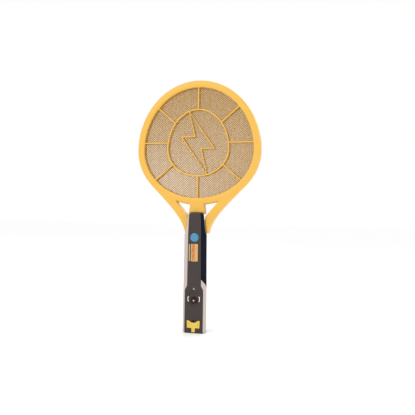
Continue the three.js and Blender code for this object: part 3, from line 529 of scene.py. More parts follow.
def handle_rings(levels, grow):
    """The handle's section at each level: a raised flat face, shallow shoulders, then flanks that close in to
    a flat back. All corners are rounded, and the whole is grown by an offset."""
    levels = np.asarray(levels, float)
    half = softened(CASING_WIDTHS, CASING_CUT, levels)
    face = softened(FACE_WIDTHS, FACE_CUT, levels)
    depth = [FACE_Y, FACE_Y + FACE_RAISE, SHOULDER_Y, -12.4, -9, 0, 6, 12, 16.4, BACK_Y]
    inward = [None, None, 1.2, 0, 0, 2.8, 4.4, 6.6, 9.4, 13]
    across = np.stack([face if d is None else half - d for d in inward], -1)
    right = np.stack([across, np.broadcast_to(depth, across.shape)], -1)
    section = np.concatenate([right, right[:, ::-1] * [-1, 1]], 1)
    cut = [0.36, 0.3, 1.2, 1.5, 3, 4, 3, 3, 3, 2.5]
    section = rounded(section, cut + cut[::-1])
    grow = np.broadcast_to(grow, levels.shape)[:, None]
    x = section[..., 0] * ((half[:, None] + grow) / half[:, None])
    end = np.where(section[..., 1] < 0, -FACE_Y, BACK_Y)
    y = section[..., 1] * (end + grow) / end
    return np.stack([x, y, np.broadcast_to(levels[:, None], x.shape)], -1)


def handle_levels(low, high):
    """Heights for the handle's rings: close at the ledge, the face's step and the top, wider elsewhere."""
    spans = [(0, 70, 5), (70, 84, 0.5), (84, 168, 4), (168, 174, 0.25), (174, 200, 1.5), (200, 208, 0.25)]
    levels = np.concatenate([np.arange(start, end, float(step)) for start, end, step in spans])
    return np.array([low, *levels[(levels > low + 0.05) & (levels < high - 0.05)], high])


def prism(name, outline, low, high):
    """A flat shape of the front view, (x, z) points, as a plate from one depth to another."""
    flat = np.asarray(outline, float)
    return lofted(name, [at_depth(flat, low), at_depth(flat, high)])


def screw_hole(x, z, tip, head_back):
    """A clear shaft and a counterbore that opens to the back."""
    return [
        rod_y("shaft", x, z, 1.6, tip - GAP, head_back - 1.9, 20),
        rod_y("bore", x, z, 2.8, head_back - 2.1, head_back + 12, 32),
    ]


TONGUE_HALF, TONGUE_DEPTH, TONGUE_LOW = 8.0, 6.0, 180.0
TONGUE_BOSS = (5.6, 190.0)
FRAME_TIP_Y, FRAME_HEAD_Y = -3.8, 7.0  # where the frame's screws end, in front and at the back


def handle_chamfer(side):
    """The tool for a sloping edge round the handle: the handle's front outline, wider further out."""
    levels = np.concatenate([np.arange(165, 205, 1.0), [205.3]])
    half = softened(CASING_WIDTHS, CASING_CUT, levels) - 0.6
    rings = []
    for depth, grow in [(5.9, 0.2), (6.3, 0.35), (9.3, 3.35)]:
        right = np.stack([half + grow, np.minimum(levels, 204.6)], -1)
        right = np.concatenate([right, [(half[-1] + grow - 0.5, HANDLE_TOP + grow)]])
        flat = np.concatenate([right, right[::-1] * [-1, 1]])
        rings.append(at_depth(flat, side * depth))
    return lofted("handle_chamfer", rings)


def frame_half(name, side):
    """One half of the frame, joined into one skin and cleared for the handle, the leads and the screws."""
    stem_levels = np.linspace(204, 226, 24)
    stem_half = np.interp(stem_levels, [206.3, 219.5, 226], [13.9, 12.2, 13.5])
    left, right = (np.stack([hand * stem_half, stem_levels], -1) for hand in (-1, 1))
    stem = strip("stem", left, right, side, 7.7, 1.2, 1.2)
    body = rim(name, side)
    arms = [arm("arm_left", side, -1), arm("arm_right", side, 1)]
    combined(body, [*arms, stem, *guard_ribs("guard", side)], "UNION")
    room = lofted("handle_room", handle_rings(handle_levels(-1, HANDLE_TOP + GAP), GAP))
    combined(body, [room, handle_chamfer(side)], "DIFFERENCE")
    # the tongue is inside the handle, so it is joined after the handle's room is cut
    near, far = sorted((side * GAP / 2, side * TONGUE_DEPTH))
    tongue = box_tool("tongue", (-TONGUE_HALF, near, TONGUE_LOW), (TONGUE_HALF, far, HANDLE_TOP + 3))
    combined(body, [tongue], "UNION")
    seat_low = float(head_egg(8.4, np.array(-np.pi / 2))[1])
    clear = [box_tool("wire_channel", (-1.4, -5, TONGUE_LOW - 1), (1.4, 5, seat_low))]
    for hand in (-1, 1):
        clear.append(rod_y("boss_room", hand * TONGUE_BOSS[0], TONGUE_BOSS[1], 2.8, -10, 10, 24))
    for x, z in FRAME_SCREWS:
        clear += screw_hole(x, z, FRAME_TIP_Y, FRAME_HEAD_Y)
    return combined(body, clear, "DIFFERENCE")


settle(frame_half("frame_front_shell", -1), FRAME_PLASTIC, "frame_yellow", "frame_front")
settle(frame_half("frame_rear_shell", 1), FRAME_PLASTIC, "frame_yellow", "frame_rear")
paint(nodes["mesh_spacer_front"], FRAME_PLASTIC)
paint(nodes["mesh_spacer_rear"], FRAME_PLASTIC)

# ---------- metal meshes ----------
# Three woven grids of fine bronze-coloured wire: two earthed outer ones and the live one between them. Their
# edges are gripped under the rim's lip, so each is cut to an egg a little larger than the window.

MESH_CUT = 9.0


def wire_metal():
    """Warm wire whose tone drifts between rose and olive over a few millimetres, with a soft metal gloss."""
    made, tree, shader = new_material("wire_metal")
    place = shader_node(tree, "TexCoord", {}).outputs["Object"]
    drift = shader_node(tree, "TexNoise", {"Vector": place, "Scale": 260, "Detail": 2})
    tones = shader_node(tree, "ValToRGB", {"Fac": drift.outputs["Fac"]})
    ramp = tones.color_ramp
    ramp.elements[0].position, ramp.elements[0].color = 0.36, (0.46, 0.2, 0.055, 1)
    ramp.elements[1].position, ramp.elements[1].color = 0.64, (0.42, 0.31, 0.055, 1)
    ramp.elements.new(0.5).color = (0.52, 0.3, 0.065, 1)
    tree.links.new(tones.outputs["Color"], shader["Base Color"])
    shader["Metallic"].default_value = 0.35
    shader["Roughness"].default_value = 0.45
    return made


WIRE_PITCH = 2.55
WIRE_SLOPE = math.radians(36)
WIRE_WIDTH, WIRE_THICKNESS = 0.72, 0.34
WIRE_LIFT = 0.16  # how far a wire's middle moves out where it crosses another


def woven(name, depth, shift):
    """Two families of straight wires at plus and minus a slope, a pitch apart. Where wire k of one family
    crosses wire j of the other, it lies in front when k + j is even and behind when odd. Each wire is a
    flattened six-sided tube whose rings stand at the crossings. Family A obeys x sin s - z cos s = k pitch,
    and family B obeys x sin s + z cos s = j pitch."""
    count = int(260 / WIRE_PITCH)
    k, j = np.meshgrid(np.arange(-count, count + 1), np.arange(-count, count + 1), indexing="ij")
    x = (k + j + shift) * WIRE_PITCH / (2 * math.sin(WIRE_SLOPE))
    z = (j - k) * WIRE_PITCH / (2 * math.cos(WIRE_SLOPE)) + HEAD_Z
    height = np.where(z > HEAD_Z, HEAD_UP, HEAD_DOWN) - MESH_CUT
    kept = (x / (HEAD_HALF_WIDTH - MESH_CUT)) ** 2 + ((z - HEAD_Z) / height) ** 2 < 1
    over = np.where((k + j) % 2 == 0, 1, -1)
    around = full_turn(6)
    side, beside = np.arange(6), (np.arange(6) + 1) % 6
    points, faces, start = [], [], 0
    for family, sign in enumerate((1, -1)):
        # a family A wire keeps k and runs along j, and a family B wire the other way
        half = WIRE_WIDTH / 2 * np.cos(around)
        ring = np.stack(
            [
                x[..., None] - sign * math.sin(WIRE_SLOPE) * half,
                (depth + sign * WIRE_LIFT * over)[..., None] + WIRE_THICKNESS / 2 * np.sin(around),
                z[..., None] + math.cos(WIRE_SLOPE) * half,
            ],
            -1,
        )
        use = kept
        if family:
            ring, use = np.swapaxes(ring, 0, 1), kept.T
        index = (np.cumsum(use.ravel()).reshape(use.shape) - 1) * 6 + start
        points.append(ring[use].reshape(-1, 3))
        start += len(points[-1])
        pair = use[:, :-1] & use[:, 1:]
        a, b = index[:, :-1][pair][:, None], index[:, 1:][pair][:, None]
        quads = np.stack([a + side, a + beside, b + beside, b + side], -1)
        faces += (quads if family else quads[..., ::-1]).reshape(-1, 4).tolist()
        before = np.pad(use, ((0, 0), (1, 0)))[:, :-1]
        after = np.pad(use, ((0, 0), (0, 1)))[:, 1:]
        turned_in = side[::-1] if family else side
        faces += (index[use & ~before][:, None] + turned_in).tolist()
        faces += (index[use & ~after][:, None] + turned_in[::-1]).tolist()
    return mesh_object(name, np.concatenate(points), faces, sharp_degrees=75, turn_out=False)


WIRE_METAL = wire_metal()
for place, depth, shift in (("front", -4.0, 0.0), ("centre", 0.0, 1.0), ("rear", 4.0, 0.5)):
    wires = woven(f"mesh_{place}_wires", depth, shift)
    settle(wires, WIRE_METAL, "mesh_metal", f"mesh_{place}")

# ---------- handle casing: front cover, rails, rear cover ----------
# The casing is a hollow grip moulded in four parts. The black front cover holds the controls, white rails run
# down both flanks, and the black rear cover closes the back with five screws.

PARTING_Y = 2.0
TOP_ROUND, FOOT_ROUND = 1.3, 0.6
SLOT_HALF, SLOT_DEPTH = TONGUE_HALF + GAP, TONGUE_DEPTH + GAP  # half the width and depth of its opening


def shell_loft(name, grow, low, high, crowned):
    """The casing's skin grown by an offset. Crowned rounds its ends: the offset follows a quarter circle."""
    levels = handle_levels(low, high)
    if not crowned:
        return lofted(name, handle_rings(levels, grow))
    levels = np.concatenate([levels, high - TOP_ROUND * (1 - np.cos(np.linspace(0.15, 1.2, 6)))])
    levels = np.unique(np.round(levels, 4))
    past = np.clip((levels - (high - TOP_ROUND)) / TOP_ROUND, 0, 1)
    foot = np.clip((FOOT_ROUND - levels) / FOOT_ROUND, 0, 1)
    inset = TOP_ROUND * (1 - np.sqrt(1 - past**2)) + FOOT_ROUND * (1 - np.sqrt(1 - foot**2))
    return lofted(name, handle_rings(levels, grow - np.minimum(inset, TOP_ROUND * 0.95)))


def casing(name):
    """The hollow casing, with the slot in its top that the frame's tongue passes through."""
    outside = shell_loft(name, 0, 0, HANDLE_TOP, True)
    inside = shell_loft("inside", -WALL, -1, HANDLE_TOP - WALL, False)
    low, high = HANDLE_TOP - 4, HANDLE_TOP + 1
    slot = box_tool("slot", (-SLOT_HALF, -SLOT_DEPTH, low), (SLOT_HALF, SLOT_DEPTH, high))
    return combined(outside, [inside, slot], "DIFFERENCE")


FACE_NARROW = 6.9  # half of the face's least width, at the top


def face_outline(grow):
    """The raised face's outline in the front view, run on past the handle's ends."""
    levels = np.concatenate([[-10], np.arange(70, 84, 0.5), np.arange(160, 215, 0.5)])
    half = np.maximum(softened(FACE_WIDTHS, FACE_CUT, levels), FACE_NARROW) + grow
    return np.concatenate([np.stack([half, levels], -1), np.stack([-half, levels], -1)[::-1]])


def face_room(grow):
    """The room of the front wall within the face's outline."""
    return prism("face_room", face_outline(grow), FACE_Y - 10, FACE_Y + WALL + 1 + grow)


def cover_room(grow):
    """What the front cover takes of the casing: the wall within the face's outline, and the top wall."""
    low, high = HANDLE_TOP - WALL - 0.5 - grow, HANDLE_TOP + 10
    half = FACE_NARROW + grow
    top = box_tool("top_room", (-half, FACE_Y + WALL, low), (half, PARTING_Y, high))
    return combined(face_room(grow), [top], "UNION")


CASE_SCREWS = [(-13, 29, 8.0), (13, 29, 8.0), (0, 92, 15.4), (-5.6, 190, 12.0), (5.6, 190, 12.0)]
BUTTON_Z, BUTTON_RADIUS = 164.0, 7.5
SWITCH_Z, RECESS_RADIUS = 58.5, 11.6
LAMP_Z = 76.0
LABEL_Z, LABEL_HALF_WIDTH, LABEL_HALF_HEIGHT = 138.0, 6.2, 15.0
KNOB_Z, TORCH_STALK_Z = 56.0, 16.8
TIP_Y = -6.4


def stalk_slot(z, travel):
    """A slot through the front wall for a stalk that slides up."""
    return box_tool("stalk_slot", (-1.6, FACE_Y - 1, z - 1.6), (1.6, FACE_Y + WALL + 1, z + 1.6 + travel))


def dished_recess(name, z, radius, depth, rim_round):
    """The tool for a round recess with a rolled edge: a profile of radius and y turned about Y."""
    bend = np.radians(np.linspace(0, 90, 6))
    radii = [radius, *(radius + rim_round * (1 - np.cos(bend))), radius + rim_round]
    ys = [depth, *(-rim_round * np.sin(bend)), -2]
    return turned(name, 0, z, radii, np.array(ys) + FACE_Y)


def label_outline(x, half_width, half_height, cut):
    """An upright rectangle at the label's height, with rounded corners."""
    low, high = LABEL_Z - half_height, LABEL_Z + half_height
    left, right = x - half_width, x + half_width
    return rounded([(left, low), (right, low), (right, high), (left, high)], cut)


DIMPLE_RADII, DIMPLE_DEPTHS = [0.4, 0.75, 0.85], np.array([0.45, 0.1, -1]) + FACE_Y


def dimple_fan():
    """The tools for two rows of small dimples over the switch, from the lamp down to the recess."""
    made = []
    for row, out in enumerate((12.9, 14.7)):
        for degrees in np.arange(-36, 37, 12) + 6 * (row % 2):
            a = math.radians(90 + degrees)
            x, z = out * math.cos(a), SWITCH_Z + out * math.sin(a)
            made.append(turned("dimple", x, z, DIMPLE_RADII, DIMPLE_DEPTHS, 12))
    return made


def screw_bosses(radius, front, back, room):
    """A round boss for each of the handle's screws, kept within a room."""
    bosses = [rod_y("boss", x, z, radius, front, back, 28) for x, z, _ in CASE_SCREWS]
    bosses = combined(bosses[0], bosses[1:], "UNION")
    return combined(bosses, [room], "INTERSECT")


def case_screw_holes():
    """The tools for the holes of the handle's screws."""
    return [tool for x, z, back in CASE_SCREWS for tool in screw_hole(x, z, TIP_Y, back)]


def front_cover():
    """The black front cover: its share of the casing, its screw bosses, and the controls' openings."""
    cover = casing("front_cover_shell")
    combined(cover, [cover_room(0)], "INTERSECT")
    room = shell_loft("room", -WALL - GAP, 0, HANDLE_TOP - WALL, False)
    combined(room, [face_room(0)], "UNION")
    combined(cover, [screw_bosses(2.5, FACE_Y + WALL - 0.2, 0, room)], "UNION")
    through = (FACE_Y - 1, FACE_Y + WALL + 1)
    bed = label_outline(0, LABEL_HALF_WIDTH + GAP, LABEL_HALF_HEIGHT + GAP, 1.0)
    tools = [
        rod_y("button_hole", 0, BUTTON_Z, BUTTON_RADIUS + GAP, *through, 64),
        dished_recess("button_dish", BUTTON_Z, BUTTON_RADIUS + 0.5, 0.25, 0.5),
        dished_recess("switch_recess", SWITCH_Z, RECESS_RADIUS, 1.1, 0.35),
        stalk_slot(KNOB_Z, 5),
        stalk_slot(TORCH_STALK_Z, 4),
        rod_y("lamp_hole", 0, LAMP_Z, 1.9, *through, 24),
        prism("label_bed", bed, FACE_Y - 1, FACE_Y + 0.7),
    ]
    return combined(cover, tools + case_screw_holes() + dimple_fan(), "DIFFERENCE")


def side_rail(name, hand):
    """A white rail: the casing's flank in front of the parting plane, less what the front cover takes."""
    rail = casing(name)
    half = box_tool("side", (min(0, hand * 32), FACE_Y - 10, -10), (max(0, hand * 32), PARTING_Y, 216))
    combined(rail, [half], "INTERSECT")
    return combined(rail, [cover_room(GAP)], "DIFFERENCE")


PAD_DEPTH = 1.2
PAD_EDGE = (19.4, SHOULDER_Y, 85.0)  # a point of the right pad's lower edge
PAD_FALL_OUT, PAD_FALL_BACK = 0.76, 1.3


def pad_tool(hand, grow):
    """The region of a grip pad. The right pad covers the flank above a plane that falls outwards and
    backwards, and the left one is a long inlay on the flank."""
    if hand > 0:
        x = np.array([6.4, 22.0, 22.0, 6.4])
        y = np.array([FACE_Y - 10, FACE_Y - 10, PARTING_Y, PARTING_Y])
        edge_x, edge_y, edge_z = PAD_EDGE
        low = edge_z + PAD_FALL_OUT * (edge_x - x) - PAD_FALL_BACK * (y - edge_y) - 1.8 * grow
        return lofted("pad_room", [np.stack([x, y, low], -1), np.stack([x, y, 0 * x + 208.0], -1)])
    return box_tool("pad_room", (-22, -9.4 - grow, 96 - grow), (-14.2, -0.6 + grow, 164 + grow))


def pad_layer(name, depth, grow):
    """The casing's outermost layer, thick enough for a pad to lie in."""
    past = 0.5 if grow else 0.0
    outer = shell_loft(name, grow, -past, HANDLE_TOP + past, not grow)
    return combined(outer, [shell_loft("under", -depth, -1, HANDLE_TOP + 1, False)], "DIFFERENCE")


def grip_pad(name, hand):
    """A pad: the layer within its region, less the front cover's share."""
    pad = pad_layer(name, PAD_DEPTH - GAP, 0)
    combined(pad, [pad_tool(hand, 0)], "INTERSECT")
    if hand > 0:
        combined(pad, [face_room(GAP)], "DIFFERENCE")
    return pad


def pad_bed(rail, hand):
    """Cuts the bed of a grip pad into a rail."""
    bed = pad_layer("bed", PAD_DEPTH, 1)
    combined(bed, [pad_tool(hand, GAP)], "INTERSECT")
    return combined(rail, [bed], "DIFFERENCE")


def rear_cover():
    """The rear cover: the casing behind the parting plane, its screw bosses and the tongue's pocket."""
    cover = casing("rear_cover_shell")
    behind = box_tool("behind", (-32, PARTING_Y + GAP, -10), (32, 30, 216))
    combined(cover, [behind], "INTERSECT")
    room = shell_loft("room", -GAP, 0, HANDLE_TOP, False)
    combined(cover, [screw_bosses(3.1, PARTING_Y + GAP, BACK_Y, room)], "UNION")
    low, high = (-SLOT_HALF, -SLOT_DEPTH, TONGUE_LOW - GAP), (SLOT_HALF, SLOT_DEPTH, HANDLE_TOP + 1)
    pocket = box_tool("tongue_pocket", low, high)
    return combined(cover, [pocket, *case_screw_holes()], "DIFFERENCE")


CASE_BLACK = moulded(
    "case_black", (0.032, 0.022, 0.018), (0.044, 0.033, 0.032),
    roughness=0.55, marks=0.15, grain=2600, bump=0.35, specular=0.4,
)
# The rails are white plastic. Their warm pink cream tint is painted reflected light, the bounce of warm
# yellow surroundings.
RAIL_WHITE_WITH_PAINTED_BOUNCE = moulded(
    "rail_white", (0.5, 0.42, 0.37), (0.5, 0.43, 0.42),
    roughness=0.32, marks=0.15, grain=1500, bump=0.08, coat=0.1,
)
# The grip pads are dark rubber. Their colour is set darker still than the case black, to the tone of a flank
# turned away from the light: painted shade.
SHADED_PAD_RUBBER = moulded(
    "pad_rubber", (0.004, 0.005, 0.014), (0.007, 0.007, 0.016),
    roughness=0.75, marks=0.12, grain=3200, bump=0.6, specular=0.12,
)

settle(front_cover(), CASE_BLACK, "casing_black", "front_cover")
left_rail = pad_bed(side_rail("side_rail_left_shell", -1), -1)
inlet = box_tool("inlet", (-22, -10, 43.7), (-16.6, -6.4, 52.3))
settle(combined(left_rail, [inlet], "DIFFERENCE"), RAIL_WHITE_WITH_PAINTED_BOUNCE, "rail_white", "side_rail_left")
settle(pad_bed(side_rail("side_rail_right_shell", 1), 1), RAIL_WHITE_WITH_PAINTED_BOUNCE, "rail_white", "side_rail_right")
settle(rear_cover(), CASE_BLACK, "casing_black", "rear_cover")
settle(grip_pad("grip_pad_left_skin", -1), SHADED_PAD_RUBBER, "pad_rubber", "grip_pad_left")
settle(grip_pad("grip_pad_right_skin", 1), SHADED_PAD_RUBBER, "pad_rubber", "grip_pad_right")

# ---------- push button ----------
# The zapping button is a round cap of glossy blue plastic, slightly domed, on a flange behind the cover.

FLANGE_Y = FACE_Y + WALL + GAP
PLUNGER_Y = -10.9  # where the button's plunger ends


def push_button():
    """A turned profile: plunger, flange, straight side, a small round edge, then a dome whose depth is
    crown + 0.9 r^2 / R^2."""
    side, inner, crown = BUTTON_RADIUS, BUTTON_RADIUS - 0.7, FACE_Y - 1.8
    edge = quarter((inner, FACE_Y - 0.25), (0.7, -0.65), 0, 90, 6)
    dome = np.linspace(inner, 0, 14)[1:-1]
    radii = [1.8, 1.8, side + 1.4, side + 1.4, side, *edge[:, 0], *dome, 0.12]
    ys = [PLUNGER_Y, FLANGE_Y + 1.1, FLANGE_Y + 1.1, FLANGE_Y, FLANGE_Y, *edge[:, 1]]
    ys += [*(crown + (dome / inner) ** 2 * 0.9), crown]
    return turned("zap_button_cap", 0, BUTTON_Z, radii, ys, 72)


BUTTON_BLUE = moulded(
    "button_blue", (0.035, 0.2, 0.34), (0.06, 0.25, 0.38),
    roughness=0.28, grain=1200, bump=0.05, coat=0.3,
)
settle(push_button(), BUTTON_BLUE, "button_blue", "zap_button", body="zap_button")

# ---------- switch knob, bezel and lamp ----------
# The power switch is a dark maroon thumb knob with a pale pip, sliding in a round recess. A bright plated arc
# stands at each side of the recess, and a small clear lamp above it shows that the swatter is charging.


def pillow_block(name, centre, half, low, high, corner, crown):
    """A thumb cap: superellipses |x/a|^n + |z/b|^n = 1, smaller ring by ring towards a crowned front."""
    a = full_turn(64)
    circle = np.stack([np.cos(a), np.sin(a)], -1)
    unit = np.sign(circle) * np.abs(circle) ** (2 / corner)
    bend = np.linspace(0, np.pi / 2, 8)
    shoulder = low + 0.8 * crown
    inset = [0, 0, *(0.8 * (1 - np.cos(bend))), *np.linspace(1.2, min(half) - 0.1, 8)]
    depths = [high, shoulder, *(low + 0.8 * crown * (1 - np.sin(bend))), *np.linspace(low, low - 0.12, 8)]
    sizes = [np.array(half) - step for step in inset]
    return lofted(name, [at_depth(unit * size + centre, y) for size, y in zip(sizes, depths)])


STALK_HALF, STALK_END_Y = 1.3, -10.0


def stalk(z, front):
    """The square stalk behind a slide, from inside its cap to its switch."""
    return box_tool("stalk", (-STALK_HALF, front, z - STALK_HALF), (STALK_HALF, STALK_END_Y, z + STALK_HALF))


def knob():
    """The knob, with its stalk and fine ridges cut across it."""
    cap = pillow_block("power_slider_knob", (0, KNOB_Z), (6.0, 4.6), FACE_Y - 0.6, -16.2, 5, 1.0)
    combined(cap, [stalk(KNOB_Z, -16.5)], "UNION")
    grooves = [
        box_tool("groove", (-4.6, FACE_Y - 2, z - 0.22), (4.6, FACE_Y - 0.42, z + 0.22))
        for z in KNOB_Z + np.array([-3.1, -2.3, 2.3, 3.1])
    ]
    return combined(cap, grooves, "DIFFERENCE")


KNOB_MAROON = moulded(
    "knob_maroon", (0.02, 0.003, 0.004), (0.03, 0.006, 0.007),
    roughness=0.5, marks=0.12, grain=1800, bump=0.2, specular=0.25,
)
PIP_PALE = moulded(
    "pip_pale", (0.5, 0.36, 0.3), (0.6, 0.45, 0.38),
    cloud=0.5, roughness=0.3, marks=0.05, grain=1500, bump=0.05, coat=0.3,
)
settle(knob(), KNOB_MAROON, "pad_rubber", "power_slider", body="power_slider")
dome = quarter((0, FACE_Y - 0.62), (1.55, -0.85), 0, 88, 8)
pip = turned("power_slider_pip", 0, KNOB_Z, [1.55, *dome[:, 0]], [FACE_Y - 0.4, *dome[:, 1]], 28)
settle(pip, PIP_PALE, "label_cream", body="power_slider")


def bezel_arc(name, middle):
    """A half-round bar carried along an arc of the recess, thinning over its last few degrees."""
    along = np.linspace(-1, 1, 40)
    a = np.radians(middle + 28 * along)
    taper = np.sqrt(np.clip(1 - np.abs(along) ** 12, 0.05, 1))
    around = full_turn(16)
    radius = 10.35 + 0.95 * taper[:, None] * np.cos(around)
    y = -16.3 - 1.15 * np.clip(taper[:, None] * np.sin(around), -0.08, 1)
    x, z = radius * np.cos(a)[:, None], SWITCH_Z + radius * np.sin(a)[:, None]
    return lofted(name, np.stack([x, y, z], -1))


def plated(name, colour, roughness):
    """Bright plating with a faint haze of fine scratches in its gloss."""
    dull = tuple(c * 0.92 for c in colour)
    return moulded(
        name, colour, dull, cloud=0.4, roughness=roughness, marks=0.2, grain=2200, bump=0.06, metallic=1.0
    )


BEZEL_PLATE = plated("bezel_plate", (0.86, 0.86, 0.85), 0.16)
settle(bezel_arc("bezel_arc_left_bar", 180), BEZEL_PLATE, "bezel_chrome", "bezel_arc_left")
settle(bezel_arc("bezel_arc_right_bar", 0), BEZEL_PLATE, "bezel_chrome", "bezel_arc_right")


def clear_plastic(name, colour, roughness):
    """Clear moulded plastic, lightly tinted, with a faint haze in its gloss."""
    made, tree, shader = new_material(name)
    place = shader_node(tree, "TexCoord", {}).outputs["Object"]
    haze = shader_node(tree, "TexNoise", {"Vector": place, "Scale": 900}).outputs["Fac"]
    gloss = shader_node(tree, "MapRange", {"Value": haze, "To Min": roughness, "To Max": roughness + 0.08})
    tree.links.new(gloss.outputs["Result"], shader["Roughness"])
    shader["Base Color"].default_value = (*colour, 1)
    shader["Transmission Weight"].default_value = 0.6
    shader["IOR"].default_value = 1.49
    return made


LAMP_CLEAR = clear_plastic("lamp_clear", (0.85, 0.82, 0.72), 0.12)
bead = quarter((0, FACE_Y), (1.6, -0.5), 0, 85, 7)
lamp = turned("indicator_lens_bead", 0, LAMP_Z, [1.6, *bead[:, 0]], [-13.0, *bead[:, 1]], 28)
settle(lamp, LAMP_CLEAR, "clear_plastic", "indicator_lens")

# ---------- torch slide ----------
# The torch is switched by a yellow thumb slide, shaped like a bow tie with a tail. It is moulded in one with
# its stalk.


def chamfered(name, outline, low, high, edge):
    """A flat cap with a rounded front edge: its outline moves in at its corners as it nears the front."""
    outline = np.asarray(outline, float)
    following = np.roll(outline, -1, 0)
    ahead = one_long(following - outline)
    inward = one_long(square_to(ahead + np.roll(ahead, 1, 0)))
    area = (outline[:, 0] * following[:, 1] - following[:, 0] * outline[:, 1]).sum()
    inward *= np.sign(area)
    bend = np.linspace(0, np.pi / 2, 5)
    levels = [(0.0, high), *zip(edge * (1 - np.cos(bend)), low + edge * (1 - np.sin(bend)))]
    return lofted(name, [at_depth(outline + inward * inset, y) for inset, y in levels])


def torch_slide():
    """The bow tie: two flared wings with a dip between them, a straight tail, and two grooves a side."""
    right = [(3.1, 1.9), (3.1, 9.0), (11.1, 9.0), (11.5, 21.8), (8.3, 21.8), (3.0, 18.2)]
    cuts = [0.7, 0.5, 0.9, 0.9, 0.9, 1.6]
    outline = rounded(right + [(-x, z) for x, z in right[::-1]], cuts + cuts[::-1])
    cap = chamfered("torch_slider_cap", outline, -18.6, -17.3, 0.5)
    combined(cap, [stalk(TORCH_STALK_Z, -17.6)], "UNION")
    grooves = [
        box_tool("groove", (x - 0.3, -20, 10.8), (x + 0.3, -18.3, 19.2)) for x in (-9.2, -7.9, 7.9, 9.2)
    ]
    return combined(cap, grooves, "DIFFERENCE")


SLIDE_YELLOW = moulded(
    "slide_yellow", (0.76, 0.44, 0.035), (0.6, 0.54, 0.09),
    cloud=0.8, roughness=0.38, marks=0.12, grain=1500, bump=0.1, coat=0.2,
)
settle(torch_slide(), SLIDE_YELLOW, "slider_yellow", "torch_slider", body="torch_slider")

# ---------- label and strip ----------
# A printed film label lies in a shallow bed on the front cover, with a narrow cream strip beside it. The
# print is plain: a darker orange band with uneven edges on a pale ground.


def label_print():
    """A darker orange band up the label on a pale ground. Noise sways its edges and thins its colour."""
    made, tree, shader = new_material("label_print")
    place = shader_node(tree, "TexCoord", {}).outputs["Object"]
    split = shader_node(tree, "SeparateXYZ", {"Vector": place})
    wobble = shader_node(tree, "TexNoise", {"Vector": place, "Scale": 330, "Detail": 1}).outputs["Fac"]

    def ramp(source, low, high, to_low=0.0, to_high=1.0):
        limits = {"Value": source, "From Min": low, "From Max": high, "To Min": to_low, "To Max": to_high}
        return shader_node(tree, "MapRange", limits, interpolation_type="SMOOTHSTEP").outputs["Result"]

    def product(a, b):
        return shader_node(tree, "Math", {0: a, 1: b}, operation="MULTIPLY").outputs[0]

    sway = {0: wobble, 1: 0.005, 2: split.outputs["X"]}
    across = shader_node(tree, "Math", sway, operation="MULTIPLY_ADD").outputs[0]
    band = product(ramp(across, -0.0022, -0.0010), ramp(across, 0.0042, 0.0026))
    inside = ramp(split.outputs["Z"], 0.1238, 0.1250)
    print_share = product(product(band, inside), ramp(wobble, 0.3, 0.6, 0.6, 1.0))
    inks = {"A": (0.6, 0.33, 0.1, 1), "B": (0.46, 0.13, 0.03, 1), "Factor": print_share}
    mix = shader_node(tree, "Mix", inks, data_type="RGBA")
    tree.links.new(mix.outputs["Result"], shader["Base Color"])
    shader["Roughness"].default_value = 0.35
    shader["Coat Weight"].default_value = 0.3
    return made


FILM_EDGE = 0.12
film = label_outline(0, LABEL_HALF_WIDTH, LABEL_HALF_HEIGHT, 0.9)
film = chamfered("label_film", film, -17.2, -16.6, FILM_EDGE)
settle(film, label_print(), "label_orange", "label_plate")
STRIP_CREAM = moulded(
    "strip_cream", (0.5, 0.44, 0.27), (0.46, 0.4, 0.28),
    roughness=0.4, grain=1800, bump=0.05,
)
film = label_outline(-8.8, 0.8, 14.4, 0.35)
film = chamfered("label_strip_film", film, -17.7, -17.3, FILM_EDGE)
settle(film, STRIP_CREAM, "label_cream", "label_strip")

# ---------- screws ----------
# Eleven pan-head screws of zinc-plated steel, each with a cross recess: five close the handle, and six the
# frame.


def screw(name, x, z, tip, head_back, turn):
    """Rings out from the head's middle, down its side and in along the shaft. On the head the depth is
    back - 0.045 r^2 - recess. The recess is deep in the four arms of a cross and fades at their ends."""
    a = full_turn(64)
    radii = np.linspace(0.05, 2.3, 16)
    r, t = np.meshgrid(radii, a, indexing="ij")
    u, v = r * np.cos(t + turn), r * np.sin(t + turn)
    arm_wide = np.minimum(np.abs(u), np.abs(v))
    cross = 1 / (1 + np.exp((arm_wide - 0.3) * 22)) / (1 + np.exp((r - 1.35) * 14))
    top = head_back - 0.045 * r**2 - 0.75 * cross
    shaft_r = np.array([2.5, 2.5, 1.3, 1.3, 1.1, 0.05])
    shaft_y = np.array([head_back - 0.6, head_back - 1.8, head_back - 1.8, tip + 0.3, tip, tip])
    r = np.concatenate([r, np.repeat(shaft_r[:, None], 64, 1)])
    y = np.concatenate([top, np.repeat(shaft_y[:, None], 64, 1)])
    t = np.broadcast_to(a, r.shape)
    return lofted(name, np.stack([x + r * np.cos(t), y, z + r * np.sin(t)], -1))


SCREW_ZINC = plated("screw_zinc", (0.62, 0.62, 0.6), 0.3)
FRAME_SCREW_ORDER = [1, 2, 3, 4, 0, 5]
for number, (x, z, back) in enumerate(CASE_SCREWS, 1):
    made = screw(f"case_screw_{number}_pan", x, z, TIP_Y, back, 0.4 * number)
    settle(made, SCREW_ZINC, "screw_steel", f"case_screw_{number}")
for number, index in enumerate(FRAME_SCREW_ORDER, 1):
    x, z = FRAME_SCREWS[index]
    made = screw(f"frame_screw_{number}_pan", x, z, FRAME_TIP_Y, FRAME_HEAD_Y, 0.7 * number)
    settle(made, SCREW_ZINC, "screw_steel", f"frame_screw_{number}")

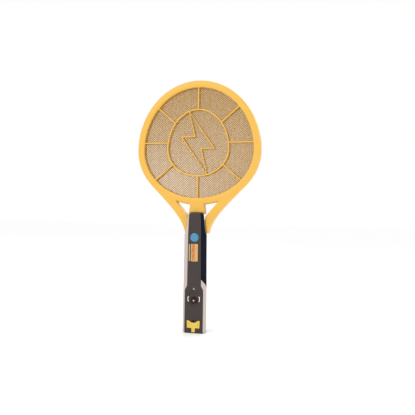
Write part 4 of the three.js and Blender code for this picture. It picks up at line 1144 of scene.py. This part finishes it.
# ---------- inside the handle ----------
# The board, its parts, the cell and the leads are seen only through the openings, so they keep their packed
# shape. They get finishes: solder mask, ferrite, enamelled wire, dipped film, shrink sleeve and insulation.


def finish(material, *names):
    """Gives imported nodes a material."""
    for name in names:
        paint(nodes[name], material)


BOARD_GREEN = moulded(
    "board_green", (0.015, 0.16, 0.05), (0.03, 0.24, 0.08),
    cloud=0.8, roughness=0.4, grain=700, bump=0.3, coat=0.4,
)
FERRITE = moulded(
    "ferrite", (0.03, 0.03, 0.032), (0.05, 0.05, 0.05),
    roughness=0.6, grain=1800, bump=0.4,
)
COPPER = plated("copper_wire", (0.75, 0.33, 0.14), 0.35)
FILM_RED = moulded(
    "film_red", (0.4, 0.06, 0.02), (0.5, 0.09, 0.03),
    roughness=0.35, grain=900, bump=0.1, coat=0.3,
)
SLEEVE_BLUE = moulded(
    "sleeve_blue", (0.04, 0.14, 0.5), (0.06, 0.2, 0.6),
    cloud=0.5, roughness=0.3, grain=900, bump=0.05, coat=0.3,
)
LEAD_RED = moulded(
    "lead_red", (0.5, 0.02, 0.02), (0.6, 0.05, 0.04),
    cloud=0.5, roughness=0.4, grain=1500, bump=0.1,
)
LEAD_BLACK = moulded(
    "lead_black", (0.02, 0.02, 0.022), (0.03, 0.03, 0.03),
    cloud=0.5, roughness=0.4, grain=1500, bump=0.1,
)
STEEL = plated("steel_sheet", (0.6, 0.6, 0.6), 0.28)
finish(BOARD_GREEN, "circuit_board")
finish(FERRITE, "transformer_core", "zap_switch", "power_switch", "torch_switch")
finish(COPPER, "transformer_winding")
finish(FILM_RED, "hv_capacitor", *(f"multiplier_capacitor_{i}" for i in (1, 2, 3)))
finish(SLEEVE_BLUE, "battery_cell")
finish(LEAD_RED, "battery_wire_red", "hv_lead_centre")
finish(LEAD_BLACK, "battery_wire_black", "hv_lead_front", "hv_lead_rear")
finish(STEEL, "charge_socket", "zap_spring")
finish(BEZEL_PLATE, "torch_reflector")
finish(CASE_BLACK, "end_cap", "battery_cradle")
finish(LAMP_CLEAR, "torch_lens", "torch_led", "indicator_led")
